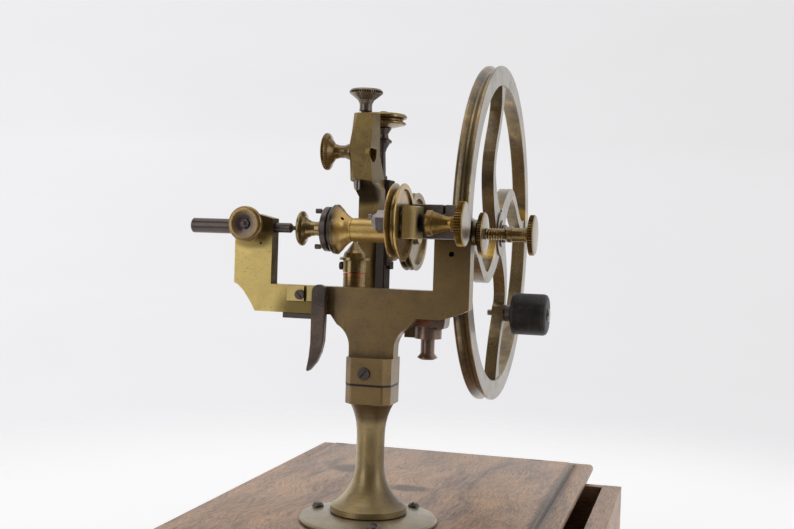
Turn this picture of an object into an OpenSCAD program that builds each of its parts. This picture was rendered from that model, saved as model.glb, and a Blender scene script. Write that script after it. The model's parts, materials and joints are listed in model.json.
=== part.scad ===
// Watchmaker's wheel-topping lathe on a walnut drawer box.
// X runs along the spindle, Y goes back towards the hand wheel, Z is up.
// The origin is on the pillar's axis, at the underside of the box.

/* [Drawer box] */
// Width of the box body, left to right
box_w = 161; // [140:1:190]
// How far the box body reaches to the right of the pillar
box_reach = 78; // [68:1:90]
// Depth of the box body, front to back
box_d = 236; // [220:1:280]
// How far the box body reaches in front of the pillar
box_near = 52; // [44:1:60]
// Height of the box body under its top board
box_h = 55; // [44:1:80]
// Thickness of the two side walls beside the drawer
box_side_t = 14; // [8:0.5:18]
// Thickness of the left wall
box_left_t = 8; // [5:0.5:12]
// Thickness of the bottom board
box_floor_t = 6; // [4:0.5:9]
// Overhang of the top board
lip_out = 5.5; // [3:0.5:9]
// Thickness of the lip round the top board
lip_t = 4.5; // [3:0.5:7]
// Width of the stepped moulding on the lip
lip_w = 13; // [8:0.5:18]
// Height of the raised field over the lip
field_t = 2.5; // [1:0.5:5]

/* [Drawer] */
// How far the drawer stands open at rest
drawer_open = 24; // [5:1:60]
// Thickness of the drawer front
drawer_front_t = 10.5; // [7:0.5:14]
// Thickness of the drawer sides and back
drawer_wall_t = 6; // [4:0.5:9]
// Thickness of the drawer floor
drawer_floor_t = 3; // [2:0.5:5]
// Gap over the drawer front
drawer_top_gap = 3.4; // [1:0.1:6]
// Slack round the drawer
drawer_slack = 0.3; // [0.3:0.1:1]
// Radius of the drawer knob
drawer_knob_r = 7; // [5:0.5:9]

/* [Pillar] */
// Radius of the round flange
flange_r = 31.5; // [28:0.5:38]
// Thickness of the flange at its rim
flange_t = 2.3; // [1.5:0.1:4]
// Rise of the flange towards the pillar foot
flange_rise = 1.9; // [0.5:0.1:3]
// Radius of the circle of flange screws
flange_screw_pcr = 26; // [23:0.5:27]
// Radius of the pillar's foot disc
foot_r = 17.4; // [15:0.2:20]
// Radius of the pillar's waist
waist_r = 6.4; // [5.6:0.1:8]
// Height of the turned pillar
pillar_h = 50; // [42:0.5:70]
// Radius of the pillar's upper end
pillar_top_r = 10.1; // [9:0.1:10.3]
// Radius of the spigot on the pillar
spigot_r = 5; // [4:0.1:6]
// Half width of the collars
collar_x = 10.7; // [10.3:0.1:14]
// Half depth of the collars
collar_y = 10; // [9:0.1:12]
// Height of the lower collar
collar_lo_h = 8.8; // [6:0.1:14]
// Height of the frame socket
socket_h = 12.2; // [9:0.1:18]

/* [Frame] */
// Height of the spindle axis over the frame socket
axis_h = 57.4; // [52:0.1:66]
// Thickness of the frame plate and of the left arm
frame_t = 8; // [7:0.1:11]
// Depth of the open gap under the spindle axis
gap_depth = 26.2; // [24:0.1:30]
// Height of the frame's cross bar
bar_h = 12.8; // [11:0.1:16]
// Inner face of the right arm
arm_in = 27.8; // [26:0.1:32]
// Width of the right arm
arm_w = 16.6; // [13:0.1:20]
// Height of the right arm over the spindle axis
arm_over = 8; // [5:0.5:11]
// Half width of the frame's neck
neck_w = 10.6; // [9:0.1:11]

/* [Tailstock] */
// Left end of the frame plate, from the pillar axis
plate_left = 27.9; // [26:0.1:32]
// Width of the left arm
tail_w = 18.5; // [15:0.1:22]
// Distance from the foot's right end to the left arm
tail_foot = 21.3; // [18:0.1:26]
// Radius of the left runner's shank
runner_r = 2.3; // [1.8:0.1:2.6]
// Radius of the left runner's thick end
runner_big_r = 3.5; // [3:0.1:4]
// Radius of the runner's clamp knob
clamp_knob_r = 8.2; // [6:0.1:10]

/* [Spindle] */
// Radius of the bright barrel
barrel_r = 5.45; // [4.5:0.05:6.5]
// Radius of the spindle arbor
arbor_r = 2.5; // [2:0.1:3]
// Radius of the mushroom nut
nut_r = 8.05; // [6:0.05:10]
// Radius of the steel cutter ring
ring_r = 10.3; // [9:0.1:11.2]
// Radius of the bell's rim
bell_r = 11.4; // [10:0.1:11.8]
// Radius of the driven pulley
pulley_r = 17.5; // [14:0.1:18]
// Width of the driven pulley
pulley_w = 5.4; // [4:0.1:6]

/* [Idler] */
// Distance of the idler's axis in front of the spindle
idler_y = 36; // [35:0.1:44]
// Height of the idler's axis over the spindle
idler_z = 3.5; // [1:0.1:6]
// Radius of the idler pulley
idler_r = 16.3; // [12:0.1:16.5]
// Width of the idler pulley
idler_w = 4.8; // [4:0.1:5]
// Side of the square bearing block
block_s = 13.6; // [12:0.1:14]
// Radius of the idler's knurled knob
idler_knob_r = 9.3; // [7:0.1:11]

/* [Centre screw] */
// Radius of the right centre screw
screw_r = 2.7; // [2:0.05:2.9]
// Radius of the screw's knurled knob
screw_knob_r = 8.9; // [7:0.1:11]
// Radius of the lock nut
lock_r = 9.5; // [7:0.1:11]

/* [Rear parts] */
// Distance of the centring post behind the spindle
post_y = 13; // [12.6:0.1:14.5]
// Radius of the centring post
post_r = 5.1; // [4:0.1:5.4]
// Front face of the rear standard, behind the spindle
standard_y = 24; // [23:0.1:28]
// Height of the rear head block
head_h = 32; // [28:0.5:40]
// Radius of the top knob
top_knob_r = 8.1; // [6:0.1:9]
// Radius of the side knob
side_knob_r = 9; // [7:0.1:11]
// Radius of the grooved disc on the rear spindle
disc_r = 11.9; // [9:0.1:12.5]

/* [Hand wheel] */
// Distance of the wheel's axle behind the spindle
wheel_y = 160; // [150:1:175]
// Radius of the hand wheel
wheel_r = 97.1; // [85:0.1:103]
// Width of the wheel's rim
rim_w = 8.5; // [5:0.1:10]
// Depth of the rim, from the outside in
rim_t = 11.2; // [7:0.1:14]
// Middle plane of the wheel, from the pillar axis
wheel_x = 24.2; // [22:0.1:30]
// Height of the wheel's axle over the spindle axis
wheel_up = 1.6; // [0:0.1:2]
// Width of a spoke
spoke_w = 5.8; // [4:0.1:8]
// Radius of the wheel's hub
hub_r = 13; // [10:0.1:16]
// Radius of the handle grip
grip_r = 12.5; // [9:0.1:14]
// Length of the handle grip
grip_l = 21.5; // [16:0.5:30]

/* [Hidden] */

// Clearances used by every fit
seat = 0.3;
run_gap = 0.05;
eps = 0.1;
round_fn = 96;
small_fn = 48;

// Levels of the stand
top_lip_z = box_h + lip_t;
top_z = top_lip_z + field_t;
box_left_x = box_reach - box_w;
box_right_x = box_reach;
box_near_y = -box_near;
box_far_y = box_d - box_near;
bay_near_y = box_near_y + box_side_t;
bay_far_y = box_far_y - box_side_t;

// Levels of the pillar
foot_z = top_z + flange_t + flange_rise;
collar_z = foot_z + pillar_h;
socket_z = collar_z + collar_lo_h;
neck_z = socket_z + socket_h;
axis_z = neck_z + axis_h;

// The frame plate's own places
bar_top = axis_z - gap_depth;
bar_low = bar_top - bar_h;
arm_out = arm_in + arm_w;
plate_y = frame_t / 2;

// Along the spindle
nut_face = -37;
nut_t = 1.6;
ring_face = -24.7;
ring_t = 2.9;
bell_face = ring_face + ring_t;
bell_rim_x = -18.2;
barrel_x = -11.6;
barrel_end = 8;
spindle_left = -38;
spindle_right = 24;
pulley_x = 14;

// The idler unit
idler_axis_y = -idler_y;
idler_axis_z = axis_z + idler_z;
idler_x = 18;
block_x = idler_x + idler_w + 0.4;
block_w = 5.8;
bracket_y = idler_axis_y + block_s / 2;
shaft_r = 2.5;

// Rear places
bed_top = bar_top - 3.8;
bed_h = 8;
bed_x0 = -24;
bed_x1 = -6;
post_x = -14.6;
bar_x0 = -19.1;
bar_x1 = -9.6;
bar_y = standard_y + 7;
bar_d = 13;
head_x0 = -22.4;
head_x1 = -11.8;
head_z = axis_z + 24.5;
head_top = head_z + head_h;
knob_y = standard_y + 5;
knob_x = -16.4;
side_z = head_z + 13.5;
column_y = standard_y + 26.5;
column_d = 10;
column_x0 = -20;
column_x1 = -9.5;
column_top = axis_z + 26;
rear_x = -15.2;
rear_y = column_y + column_d / 2;
disc_z = axis_z + 52;
disc_t = 8.6;

// The hand wheel's carrier
axle_r = 3;
arm_z0 = axis_z - 3;
arm_z1 = axis_z + 7;
arm_mid_z = (arm_z0 + arm_z1) / 2;
carrier_x0 = -17;
carrier_x1 = column_x1;
hub_w = 10;
boss_r = 8;
boss_x = wheel_x - hub_w / 2 - seat;
wheel_z = axis_z + wheel_up;
handle_u = 0.235 * wheel_r;
handle_v = -0.494 * wheel_r;
handle_y = wheel_y + handle_u;
handle_z = wheel_z + handle_v;
spoke_t = rim_w - 1.6;
spoke_face = wheel_x + spoke_t / 2;
grip_x = spoke_face + 4.8;
pin_r = 2.5;

// Colours
brass = [0.60, 0.51, 0.27];
old_brass = [0.47, 0.40, 0.24];
steel = [0.40, 0.36, 0.36];
dark_steel = [0.25, 0.20, 0.19];
copper = [0.62, 0.34, 0.22];
walnut = [0.47, 0.34, 0.26];
walnut_dark = [0.28, 0.18, 0.12];
black_grip = [0.08, 0.08, 0.08];

// Helpers

// A rod along X from x0 to x1
module rod_x(r, x0, x1, y = 0, z = axis_z, fn = small_fn) {
    translate([x0, y, z])
        rotate([0, 90, 0])
            cylinder(r = r, h = x1 - x0, $fn = fn);
}

// A rod along Y from y0 to y1
module rod_y(r, y0, y1, x, z, fn = small_fn) {
    translate([x, y1, z])
        rotate([90, 0, 0])
            cylinder(r = r, h = y1 - y0, $fn = fn);
}

// A rod along Z from z0 to z1
module rod_z(r, z0, z1, x = 0, y = 0, fn = small_fn) {
    translate([x, y, z0])
        cylinder(r = r, h = z1 - z0, $fn = fn);
}

// A box between two corners
module slab(a, b) {
    translate(a)
        cube(b - a);
}

// A turned shape about a line along X; the outline is [radius, distance along X]
module turned_x(outline, y = 0, z = axis_z) {
    translate([0, y, z])
        rotate([0, 90, 0])
            rotate_extrude($fn = round_fn)
                polygon(outline);
}

// A turned shape about a vertical line; the outline is [radius, height]
module turned_z(outline, x = 0, y = 0) {
    translate([x, y, 0])
        rotate_extrude($fn = round_fn)
            polygon(outline);
}

// A turned shape about a line along Y, seen from the front; distance grows backwards
module turned_y(outline, x, z) {
    translate([x, 0, z])
        rotate([-90, 0, 0])
            rotate_extrude($fn = round_fn)
                polygon(outline);
}

// A plate in the XZ plane, from y0 to y1
module plate_xz(outline, y0, y1) {
    translate([0, y1, 0])
        rotate([90, 0, 0])
            linear_extrude(y1 - y0)
                polygon(outline);
}

// Points on a circle's arc
function arc_points(cx, cz, r, a0, a1, n = 10) = [
    for (i = [0:n])
        let (a = a0 + (a1 - a0) * i / n)
            [cx + r * cos(a), cz + r * sin(a)]
];

// A slotted screw head facing -Y, with its shank behind it
module slotted_screw_y(r, head_t, shank_r, y_head, y_tip, x, z, slot_angle) {
    difference() {
        union() {
            rod_y(r, y_head, y_head + head_t, x, z);
            rod_y(shank_r, y_head, y_tip, x, z);
        }
        translate([x, y_head, z])
            rotate([0, slot_angle, 0])
                cube([2 * r + eps, head_t, r * 0.28], center = true);
    }
}

// Drawer box

module box_bottom() {
    color(walnut_dark)
        slab([box_left_x + box_left_t, bay_near_y, 0], [box_right_x, bay_far_y, box_floor_t]);
}

module box_left_wall() {
    color(walnut)
        slab([box_left_x, bay_near_y, 0], [box_left_x + box_left_t, bay_far_y, box_h]);
}

module box_near_wall() {
    color(walnut)
        slab([box_left_x, box_near_y, 0], [box_right_x, bay_near_y, box_h]);
}

module box_far_wall() {
    color(walnut)
        slab([box_left_x, bay_far_y, 0], [box_right_x, box_far_y, box_h]);
}

// The top board: a lip all round and a raised field, drilled for the flange screws
module box_top() {
    color(walnut)
        difference() {
            union() {
                slab([box_left_x - lip_out, box_near_y - lip_out, box_h],
                     [box_right_x + lip_out, box_far_y + lip_out, top_lip_z]);
                slab([box_left_x - lip_out + lip_w, box_near_y - lip_out + lip_w, box_h],
                     [box_right_x + lip_out - lip_w, box_far_y + lip_out - lip_w, top_z]);
            }
            at_flange_screws()
                rod_z(flange_screw_r, top_z - flange_screw_l - seat, top_z + eps);
        }
}

// Drawer

drawer_x1 = box_right_x + drawer_open;
drawer_x0 = drawer_x1 - box_w + box_left_t + 1;
drawer_near_y = bay_near_y + drawer_slack;
drawer_far_y = bay_far_y - drawer_slack;
drawer_low = box_floor_t + drawer_slack;
drawer_high = box_h - drawer_top_gap;
drawer_in_x1 = drawer_x1 - drawer_front_t;
drawer_floor_z = drawer_low + 1.5;
drawer_mid_y = (drawer_near_y + drawer_far_y) / 2;
drawer_mid_z = (drawer_low + drawer_high) / 2;
drawer_knob_shank = 2;

module drawer_front() {
    color(walnut)
        difference() {
            slab([drawer_in_x1, drawer_near_y, drawer_low], [drawer_x1, drawer_far_y, drawer_high]);
            rod_x(drawer_knob_shank + run_gap, drawer_in_x1 - eps, drawer_x1 + eps, drawer_mid_y,
                  drawer_mid_z);
        }
}

module drawer_near_side() {
    color(walnut_dark)
        slab([drawer_x0, drawer_near_y, drawer_low],
             [drawer_in_x1, drawer_near_y + drawer_wall_t, drawer_high]);
}

module drawer_far_side() {
    color(walnut_dark)
        slab([drawer_x0, drawer_far_y - drawer_wall_t, drawer_low],
             [drawer_in_x1, drawer_far_y, drawer_high]);
}

module drawer_back() {
    color(walnut_dark)
        slab([drawer_x0, drawer_near_y + drawer_wall_t, drawer_low],
             [drawer_x0 + drawer_wall_t, drawer_far_y - drawer_wall_t, drawer_high]);
}

module drawer_floor() {
    color(walnut_dark)
        slab([drawer_x0 + drawer_wall_t, drawer_near_y + drawer_wall_t, drawer_floor_z],
             [drawer_in_x1, drawer_far_y - drawer_wall_t, drawer_floor_z + drawer_floor_t]);
}

module drawer_knob() {
    neck = drawer_knob_r * 0.42;
    color(old_brass)
        turned_x([
            [0, drawer_in_x1 + 1], [drawer_knob_shank, drawer_in_x1 + 1], [drawer_knob_shank, drawer_x1],
            [neck + 2, drawer_x1], [neck + 2, drawer_x1 + 1], [neck, drawer_x1 + 3], [neck, drawer_x1 + 5],
            [drawer_knob_r - 0.8, drawer_x1 + 7.5], [drawer_knob_r, drawer_x1 + 9],
            [drawer_knob_r - 0.8, drawer_x1 + 10.5], [drawer_knob_r * 0.5, drawer_x1 + 11.5],
            [0, drawer_x1 + 11.8]
        ], drawer_mid_y, drawer_mid_z);
}

// Pillar and its foot

flange_screw_r = 1.7;
flange_screw_l = 5.5;
flange_head_r = 2.9;
flange_screw_a = -68;
flange_screws_n = 3;

module at_flange_screws() {
    for (i = [0:flange_screws_n - 1])
        rotate([0, 0, flange_screw_a + i * 360 / flange_screws_n])
            translate([flange_screw_pcr, 0, 0])
                children();
}

module base_flange() {
    color(old_brass)
        difference() {
            turned_z([
                [0, top_z], [flange_r - 0.5, top_z], [flange_r, top_z + 0.5],
                [flange_r, top_z + flange_t - 0.8],
                [flange_r - 0.8, top_z + flange_t], [foot_r + 1.5, foot_z], [0, foot_z]
            ]);
            rod_z(spigot_r + run_gap, top_z - eps, foot_z + eps);
            at_flange_screws()
                rod_z(flange_screw_r, top_z - eps, foot_z + eps);
        }
}

// Round-headed wood screws that hold the flange down on the box
module flange_screws() {
    head_low = top_z + flange_t + flange_rise * (flange_r - flange_screw_pcr + flange_head_r) / (flange_r - foot_r);
    color(dark_steel)
        at_flange_screws()
            difference() {
                union() {
                    rod_z(flange_screw_r - run_gap, top_z - flange_screw_l, head_low + 0.5);
                    turned_z([
                        [0, head_low], [flange_head_r, head_low], [flange_head_r - 0.3, head_low + 0.8],
                        [flange_head_r * 0.6, head_low + 1.7], [0, head_low + 2]
                    ]);
                }
                rotate([0, 0, 35])
                    translate([0, 0, head_low + 2])
                        cube([2 * flange_head_r, 0.8, 1.8], center = true);
            }
}

// The turned pillar with a spigot at each end
module pillar() {
    rim_h = 3.7;
    color(old_brass)
        turned_z(concat(
            [[0, top_z + 1], [spigot_r, top_z + 1], [spigot_r, foot_z], [foot_r - 0.4, foot_z],
             [foot_r, foot_z + 0.5], [foot_r, foot_z + rim_h - 0.6], [foot_r - 0.8, foot_z + rim_h]],
            [for (i = [1:14])
                let (t = i / 14)
                    [waist_r + (foot_r - 1.2 - waist_r) * pow(1 - t, 2.6),
                     foot_z + rim_h + t * pillar_h * 0.42]],
            [for (i = [0:8])
                let (t = i / 8)
                    [waist_r + (pillar_top_r - waist_r) * pow(t, 2.6), collar_z - pillar_h * 0.34 * (1 - t)]],
            [[spigot_r, collar_z], [spigot_r, socket_z + socket_h - 2], [0, socket_z + socket_h - 2]]
        ));
}

// A four-sided collar with its corners cut off
module collar_block(z0, z1) {
    c = 3.2;
    difference() {
        translate([0, 0, z0])
            linear_extrude(z1 - z0)
                polygon([
                    [collar_x, -collar_y + c], [collar_x, collar_y - c], [collar_x - c, collar_y],
                    [-collar_x + c, collar_y], [-collar_x, collar_y - c], [-collar_x, -collar_y + c],
                    [-collar_x + c, -collar_y], [collar_x - c, -collar_y]
                ]);
        rod_z(spigot_r + run_gap, z0 - eps, z1 - 1.5);
        if (z1 < neck_z)
            rod_z(spigot_r + run_gap, z0 - eps, z1 + eps);
    }
}

module pillar_collar() {
    color(old_brass)
        collar_block(collar_z, socket_z);
}

socket_screw_r = 2.7;
socket_screw_x = -1.2;
socket_screw_z = socket_z + 5.3;
socket_shank_r = 1.3;
socket_nub_r = 1.3;

module frame_socket() {
    color(old_brass)
        difference() {
            collar_block(socket_z, neck_z);
            rod_y(socket_shank_r, -collar_y - eps, 0, socket_screw_x, socket_screw_z);
            rod_x(socket_nub_r, -collar_x - eps, 0, 0, socket_screw_z);
        }
}

// The slotted clamp screw in front and the small screw on the left
module socket_screws() {
    color(steel) {
        slotted_screw_y(socket_screw_r, 1, socket_shank_r - run_gap, -collar_y - 1,
                        -spigot_r - 0.6, socket_screw_x, socket_screw_z, -50);
        rod_x(socket_nub_r - run_gap, -collar_x - 1.2, -spigot_r - seat, 0, socket_screw_z);
    }
}

// Frame

tongue_t = 3;
tongue_l = 18;
tongue_z0 = bar_low + 2;
tongue_z1 = bar_top - 3.6;
hook_x = -23.9;
hook_pivot_z = bar_top - 5;
hook_pivot_r = 1.5;
stud_x = 22.7;
stud_y = plate_y + 6.6;
stud_r = 3.2;
stud_foot_r = 4.6;
lug_low = bar_low - 9.7;
lug_boss_r = 6.3;
lug_boss_h = 6.2;
lug_back = stud_y + 4;
lug_x0 = 11.4;
lug_x1 = 31.7;

// The Y-shaped plate: neck, haunches, cross bar and right arm
module frame_plate() {
    haunch = bar_low - neck_z;
    left_haunch = arc_points(-neck_w - haunch * 0.62, neck_z + haunch * 0.22, haunch * 0.62, 0, 62);
    right_haunch = arc_points(neck_w + haunch * 0.62, neck_z + haunch * 0.22, haunch * 0.62, 180, 118);
    outline = concat(
        [[-neck_w, neck_z]],
        left_haunch,
        [[-plate_left + 8, bar_low], [-plate_left, bar_low], [-plate_left, bar_top], [arm_in, bar_top],
         [arm_in, axis_z + arm_over], [arm_out - 2, axis_z + arm_over], [arm_out, axis_z + arm_over - 2],
         [arm_out, bar_low + 5]],
        [for (i = [1:6])
            let (t = i / 6)
                [arm_out - 13.2 * t, bar_low + 5 * (1 - t) * (1 - t * 0.45)]],
        [[arm_out - 24, bar_low]],
        [for (i = [len(right_haunch) - 1:-1:0]) right_haunch[i]],
        [[neck_w, neck_z]]
    );
    color(brass)
        difference() {
            union() {
                plate_xz(outline, -plate_y, plate_y);
                slab([-plate_left - tongue_l, -tongue_t / 2, tongue_z0],
                     [-plate_left + 1, tongue_t / 2, tongue_z1]);
            }
            rod_x(screw_r + run_gap, arm_in - eps, arm_out + eps);
            rod_y(1.2, -plate_y - eps, -plate_y + 3, arm_in + 8, axis_z - 9.5);
            rod_y(hook_pivot_r, -plate_y - eps, 0, hook_x, hook_pivot_z);
        }
}

// The rusty lug behind the right haunch: a round boss, a web, a bar under the plate and an ear
module under_lug() {
    boss_top = lug_low + lug_boss_h;
    bar_x0 = stud_x - lug_boss_r + 0.4;
    ear_x0 = stud_x + lug_boss_r - 0.8;
    ear_r = 2;
    ear = concat(
        [[ear_x0, bar_low + 3], [ear_x0, bar_low - 5]],
        arc_points(lug_x1 - ear_r, bar_low - 5 + ear_r, ear_r, -90, 0, 6),
        [[lug_x1 + 0.6, bar_low + 3]]
    );
    color([0.35, 0.22, 0.17])
        difference() {
            union() {
                rod_z(lug_boss_r, lug_low, boss_top, stud_x, stud_y, round_fn);
                slab([lug_x0, stud_y, lug_low], [stud_x, lug_back, bar_low + 2]);
                slab([bar_x0, plate_y, boss_top - 0.5], [ear_x0 + 1, lug_back, bar_low + 2]);
                plate_xz(ear, plate_y, lug_back);
            }
            rod_z(stud_r - 1, lug_low - eps, lug_low + 6, stud_x, stud_y);
        }
}

module under_stud() {
    low = bar_low - 19.5;
    shank = stud_r - 1 - run_gap;
    color([0.35, 0.22, 0.17])
        turned_z([
            [0, low], [stud_foot_r * 0.7, low + 0.2], [stud_foot_r, low + 0.9], [stud_foot_r, low + 1.3],
            [stud_r + 0.4, low + 2.4], [stud_r, low + 3.2], [stud_r, lug_low - seat], [shank, lug_low - seat],
            [shank, lug_low + 5.7], [0, lug_low + 5.7]
        ], stud_x, stud_y);
}

// Tailstock

foot_x1 = -plate_left - seat;
tail_x1 = foot_x1 - tail_foot;
tail_x0 = tail_x1 - tail_w;
tail_mid = (tail_x0 + tail_x1) / 2;
punch_x = tail_x1 - 5.5;
punch_z = axis_z - 7.4;
punch_r = 0.6;
knob_axis_x = tail_mid - 0.6;
knob_axis_z = axis_z + 1.2;
cove_w = 10.8;
clamp_x0 = foot_x1 - 12.8;
clamp_x1 = foot_x1 - 4.4;
clamp_screw_x = foot_x1 - 6.4;
clamp_screw_z = bar_top - 4.2;
clamp_plate_t = 1.2;
clamp_shank_r = 1.3;
knob_shank_r = 1.6;
knob_stud_r = 1.15;

// The arm and its foot; a slot in the foot rides on the frame's tongue
module left_arm() {
    outline = concat(
        [[foot_x1, bar_low], [foot_x1, bar_top], [tail_x1, bar_top], [tail_x1, axis_z + 4.2],
         [tail_x1 - 4, axis_z + 5.2], [tail_x1 - 8, axis_z + 6.2], [tail_x0 + 3, axis_z + 6.2],
         [tail_x0, axis_z + 3]],
        [for (i = [0:8])
            let (t = i / 8)
                [tail_x0 + cove_w * t, bar_top - bar_h * pow(t, 1.55)]]
    );
    color(brass)
        difference() {
            plate_xz(outline, -plate_y, plate_y);
            slab([-plate_left - tongue_l - 2, -tongue_t / 2 - run_gap, tongue_z0 - run_gap],
                 [foot_x1 + eps, tongue_t / 2 + run_gap, tongue_z1 + run_gap]);
            rod_x(runner_r + run_gap, tail_x0 - eps, tail_x1 + eps);
            rod_y(knob_shank_r, -plate_y - eps, 0, knob_axis_x, knob_axis_z);
            rod_y(clamp_shank_r, -plate_y - eps, 0, clamp_screw_x, clamp_screw_z);
            rod_y(punch_r, -plate_y - eps, -plate_y + punch_r, punch_x, punch_z, 16);
        }
}

// Two small brass plates on the foot
module arm_clamp_plates() {
    color(brass)
        difference() {
            union() {
                slab([clamp_x0, -plate_y - clamp_plate_t, bar_top - 7.2],
                     [clamp_x1, -plate_y, bar_top - 0.2]);
                slab([foot_x1 - 3.2, -plate_y - clamp_plate_t * 0.7, bar_top - 7],
                     [foot_x1, -plate_y, bar_top - 0.2]);
            }
            rod_y(clamp_shank_r, -plate_y - clamp_plate_t - eps, -plate_y + eps, clamp_screw_x,
                  clamp_screw_z);
        }
}

module arm_clamp_screw() {
    color(steel)
        slotted_screw_y(2.2, 1, clamp_shank_r - run_gap, -plate_y - clamp_plate_t - 1,
                        -tongue_t / 2 - seat, clamp_screw_x, clamp_screw_z, 50);
}

module arm_gib() {
    color(dark_steel)
        slab([foot_x1 - 15.5, -plate_y + 1, bar_low - 2.6], [foot_x1, plate_y - 1, bar_low]);
}

// The left runner: thick end, shank and centre point
module left_runner() {
    tip = spindle_left - seat;
    color(dark_steel)
        turned_x([
            [0, tail_x0 - 23.5], [runner_big_r - 0.5, tail_x0 - 23.5], [runner_big_r, tail_x0 - 23],
            [runner_big_r, tail_x0 - seat], [runner_r, tail_x0 - seat], [runner_r, tip - 3.6],
            [runner_r - 0.5, tip - 3], [1.1, tip - 2.4], [0.9, tip - 1], [0, tip]
        ]);
}

// The clamp knob, turned as a shallow dish
module runner_knob() {
    y0 = -plate_y - seat;
    r = clamp_knob_r;
    color(brass)
        difference() {
            turned_y([
                [0, -runner_r - seat], [knob_shank_r - run_gap, -runner_r - seat],
                [knob_shank_r - run_gap, y0],
                [r * 0.42, y0], [r * 0.4, y0 - 2], [r * 0.46, y0 - 4], [r * 0.62, y0 - 5.6],
                [r * 0.9, y0 - 7],
                [r, y0 - 7.8], [r, y0 - 9], [r * 0.93, y0 - 9.7], [r * 0.8, y0 - 9.8], [r * 0.55, y0 - 9.2],
                [r * 0.25, y0 - 8.6], [0, y0 - 8.6]
            ], knob_axis_x, knob_axis_z);
            rod_y(knob_stud_r + run_gap, y0 - 10, y0 - 5, knob_axis_x, knob_axis_z);
        }
}

// The steel stud end in the middle of the clamp knob
module runner_knob_stud() {
    y0 = -plate_y - seat;
    color(dark_steel)
        turned_y([
            [0, y0 - 5.2], [knob_stud_r, y0 - 5.2], [knob_stud_r, y0 - 8.7], [2.3, y0 - 9], [2.2, y0 - 9.8],
            [1.5, y0 - 10.6], [0.7, y0 - 11], [0, y0 - 11.1]
        ], knob_axis_x, knob_axis_z);
}

// Hook lever

hook_y1 = -plate_y - clamp_plate_t - 1 - seat;
hook_y0 = hook_y1 - 3.6;
hook_w = 6.6;

module hook_lever() {
    x = hook_x;
    w = hook_w / 2;
    outline = concat(
        arc_points(x, bar_top - w + 1, w, 180, 0, 12),
        [[x + w, bar_low - 3], [x + w - 0.3, bar_low - 12], [x + w - 1.4, bar_low - 17],
        [x + w - 3.4, bar_low - 21.5],
         [x + w - 6.6, bar_low - 25.3], [x + w - 7.7, bar_low - 26], [x + w - 8.2, bar_low - 25.2],
         [x - w - 0.6, bar_low - 19.5], [x - w, bar_low - 13], [x - w, bar_low - 3]]
    );
    color(dark_steel)
        difference() {
            plate_xz(outline, hook_y0, hook_y1);
            rod_y(hook_pivot_r + run_gap, hook_y0 + 1, hook_y1 + eps, hook_x, hook_pivot_z);
        }
}

// The pivot pin with a shoulder that holds the hook off the plate
module hook_pivot() {
    color(steel) {
        rod_y(hook_pivot_r, hook_y0 + 1 + seat, -plate_y, hook_x, hook_pivot_z);
        rod_y(hook_pivot_r - run_gap, -plate_y, -seat, hook_x, hook_pivot_z);
        rod_y(hook_pivot_r + 1.2, hook_y1 + seat, -plate_y, hook_x, hook_pivot_z);
    }
}

// Main spindle

// The arbor, its barrel and the thin right end
module main_spindle() {
    color(brass)
        turned_x([
            [0, spindle_left + 0.8], [0.6, spindle_left], [arbor_r - 0.3, spindle_left],
            [arbor_r, spindle_left + 0.4],
            [arbor_r, barrel_x], [barrel_r - 0.3, barrel_x], [barrel_r, barrel_x + 0.4],
            [barrel_r, barrel_end - 0.4], [barrel_r - 0.4, barrel_end],
            [arbor_r, barrel_end + 0.3], [arbor_r, spindle_right - 0.4], [arbor_r - 0.4, spindle_right],
            [0.6, spindle_right], [0, spindle_right - 0.8]
        ]);
}

module mushroom_nut() {
    n = nut_face;
    b = arbor_r + run_gap;
    color(brass)
        turned_x([
            [b, n + 0.4], [nut_r - 1.5, n], [nut_r - 0.3, n + 0.2], [nut_r, n + 0.6],
            [nut_r, n + nut_t - 0.3],
            [nut_r - 0.4, n + nut_t], [nut_r * 0.72, n + nut_t + 0.7], [nut_r * 0.55, n + nut_t + 2],
            [nut_r * 0.43, n + nut_t + 4], [nut_r * 0.4, n + nut_t + 6], [nut_r * 0.43, n + nut_t + 8],
            [nut_r * 0.5, ring_face - 0.8], [nut_r * 0.5, ring_face], [b, ring_face]
        ]);
}

// The steel ring carries two small studs on its left face
module cutter_ring() {
    stud_at = ring_r - 2.1;
    color(steel) {
        turned_x([
            [arbor_r + run_gap, ring_face], [ring_r - 0.4, ring_face], [ring_r, ring_face + 0.4],
            [ring_r, bell_face - 0.4], [ring_r - 0.4, bell_face], [arbor_r + run_gap, bell_face]
        ]);
        for (side = [1, -1]) {
            rod_x(0.7, ring_face - 3, ring_face + 0.5, 0, axis_z + side * stud_at, small_fn);
            rod_x(1.15, ring_face - 4.9, ring_face - 2.4, 0, axis_z + side * stud_at, small_fn);
        }
    }
}

bell_hole_x = -15;
bell_hole_a = 49;
bell_hole_r = 0.7;

// The bell, with one small pin hole in its hollow
module spindle_bell() {
    b = arbor_r + run_gap;
    color(brass)
        difference() {
            turned_x([
                [b, bell_face], [ring_r - 0.9, bell_face], [ring_r - 0.9, bell_face + 0.9],
                [bell_r - 0.4, bell_face + 1.3], [bell_r, bell_face + 2], [bell_r, bell_rim_x - 0.4],
                [bell_r - 0.5, bell_rim_x], [bell_r - 1.4, bell_rim_x + 1], [bell_r - 3.1, bell_rim_x + 2.4],
                [bell_r - 4.6, bell_rim_x + 4], [barrel_r + 0.2, barrel_x - 0.9],
                [barrel_r - 0.1, barrel_x - 0.6],
                [barrel_r - 0.1, barrel_x], [b, barrel_x]
            ]);
            translate([bell_hole_x, 0, axis_z])
                rotate([bell_hole_a, 0, 0])
                    cylinder(r = bell_hole_r, h = bell_r, $fn = 24);
        }
}

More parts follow.
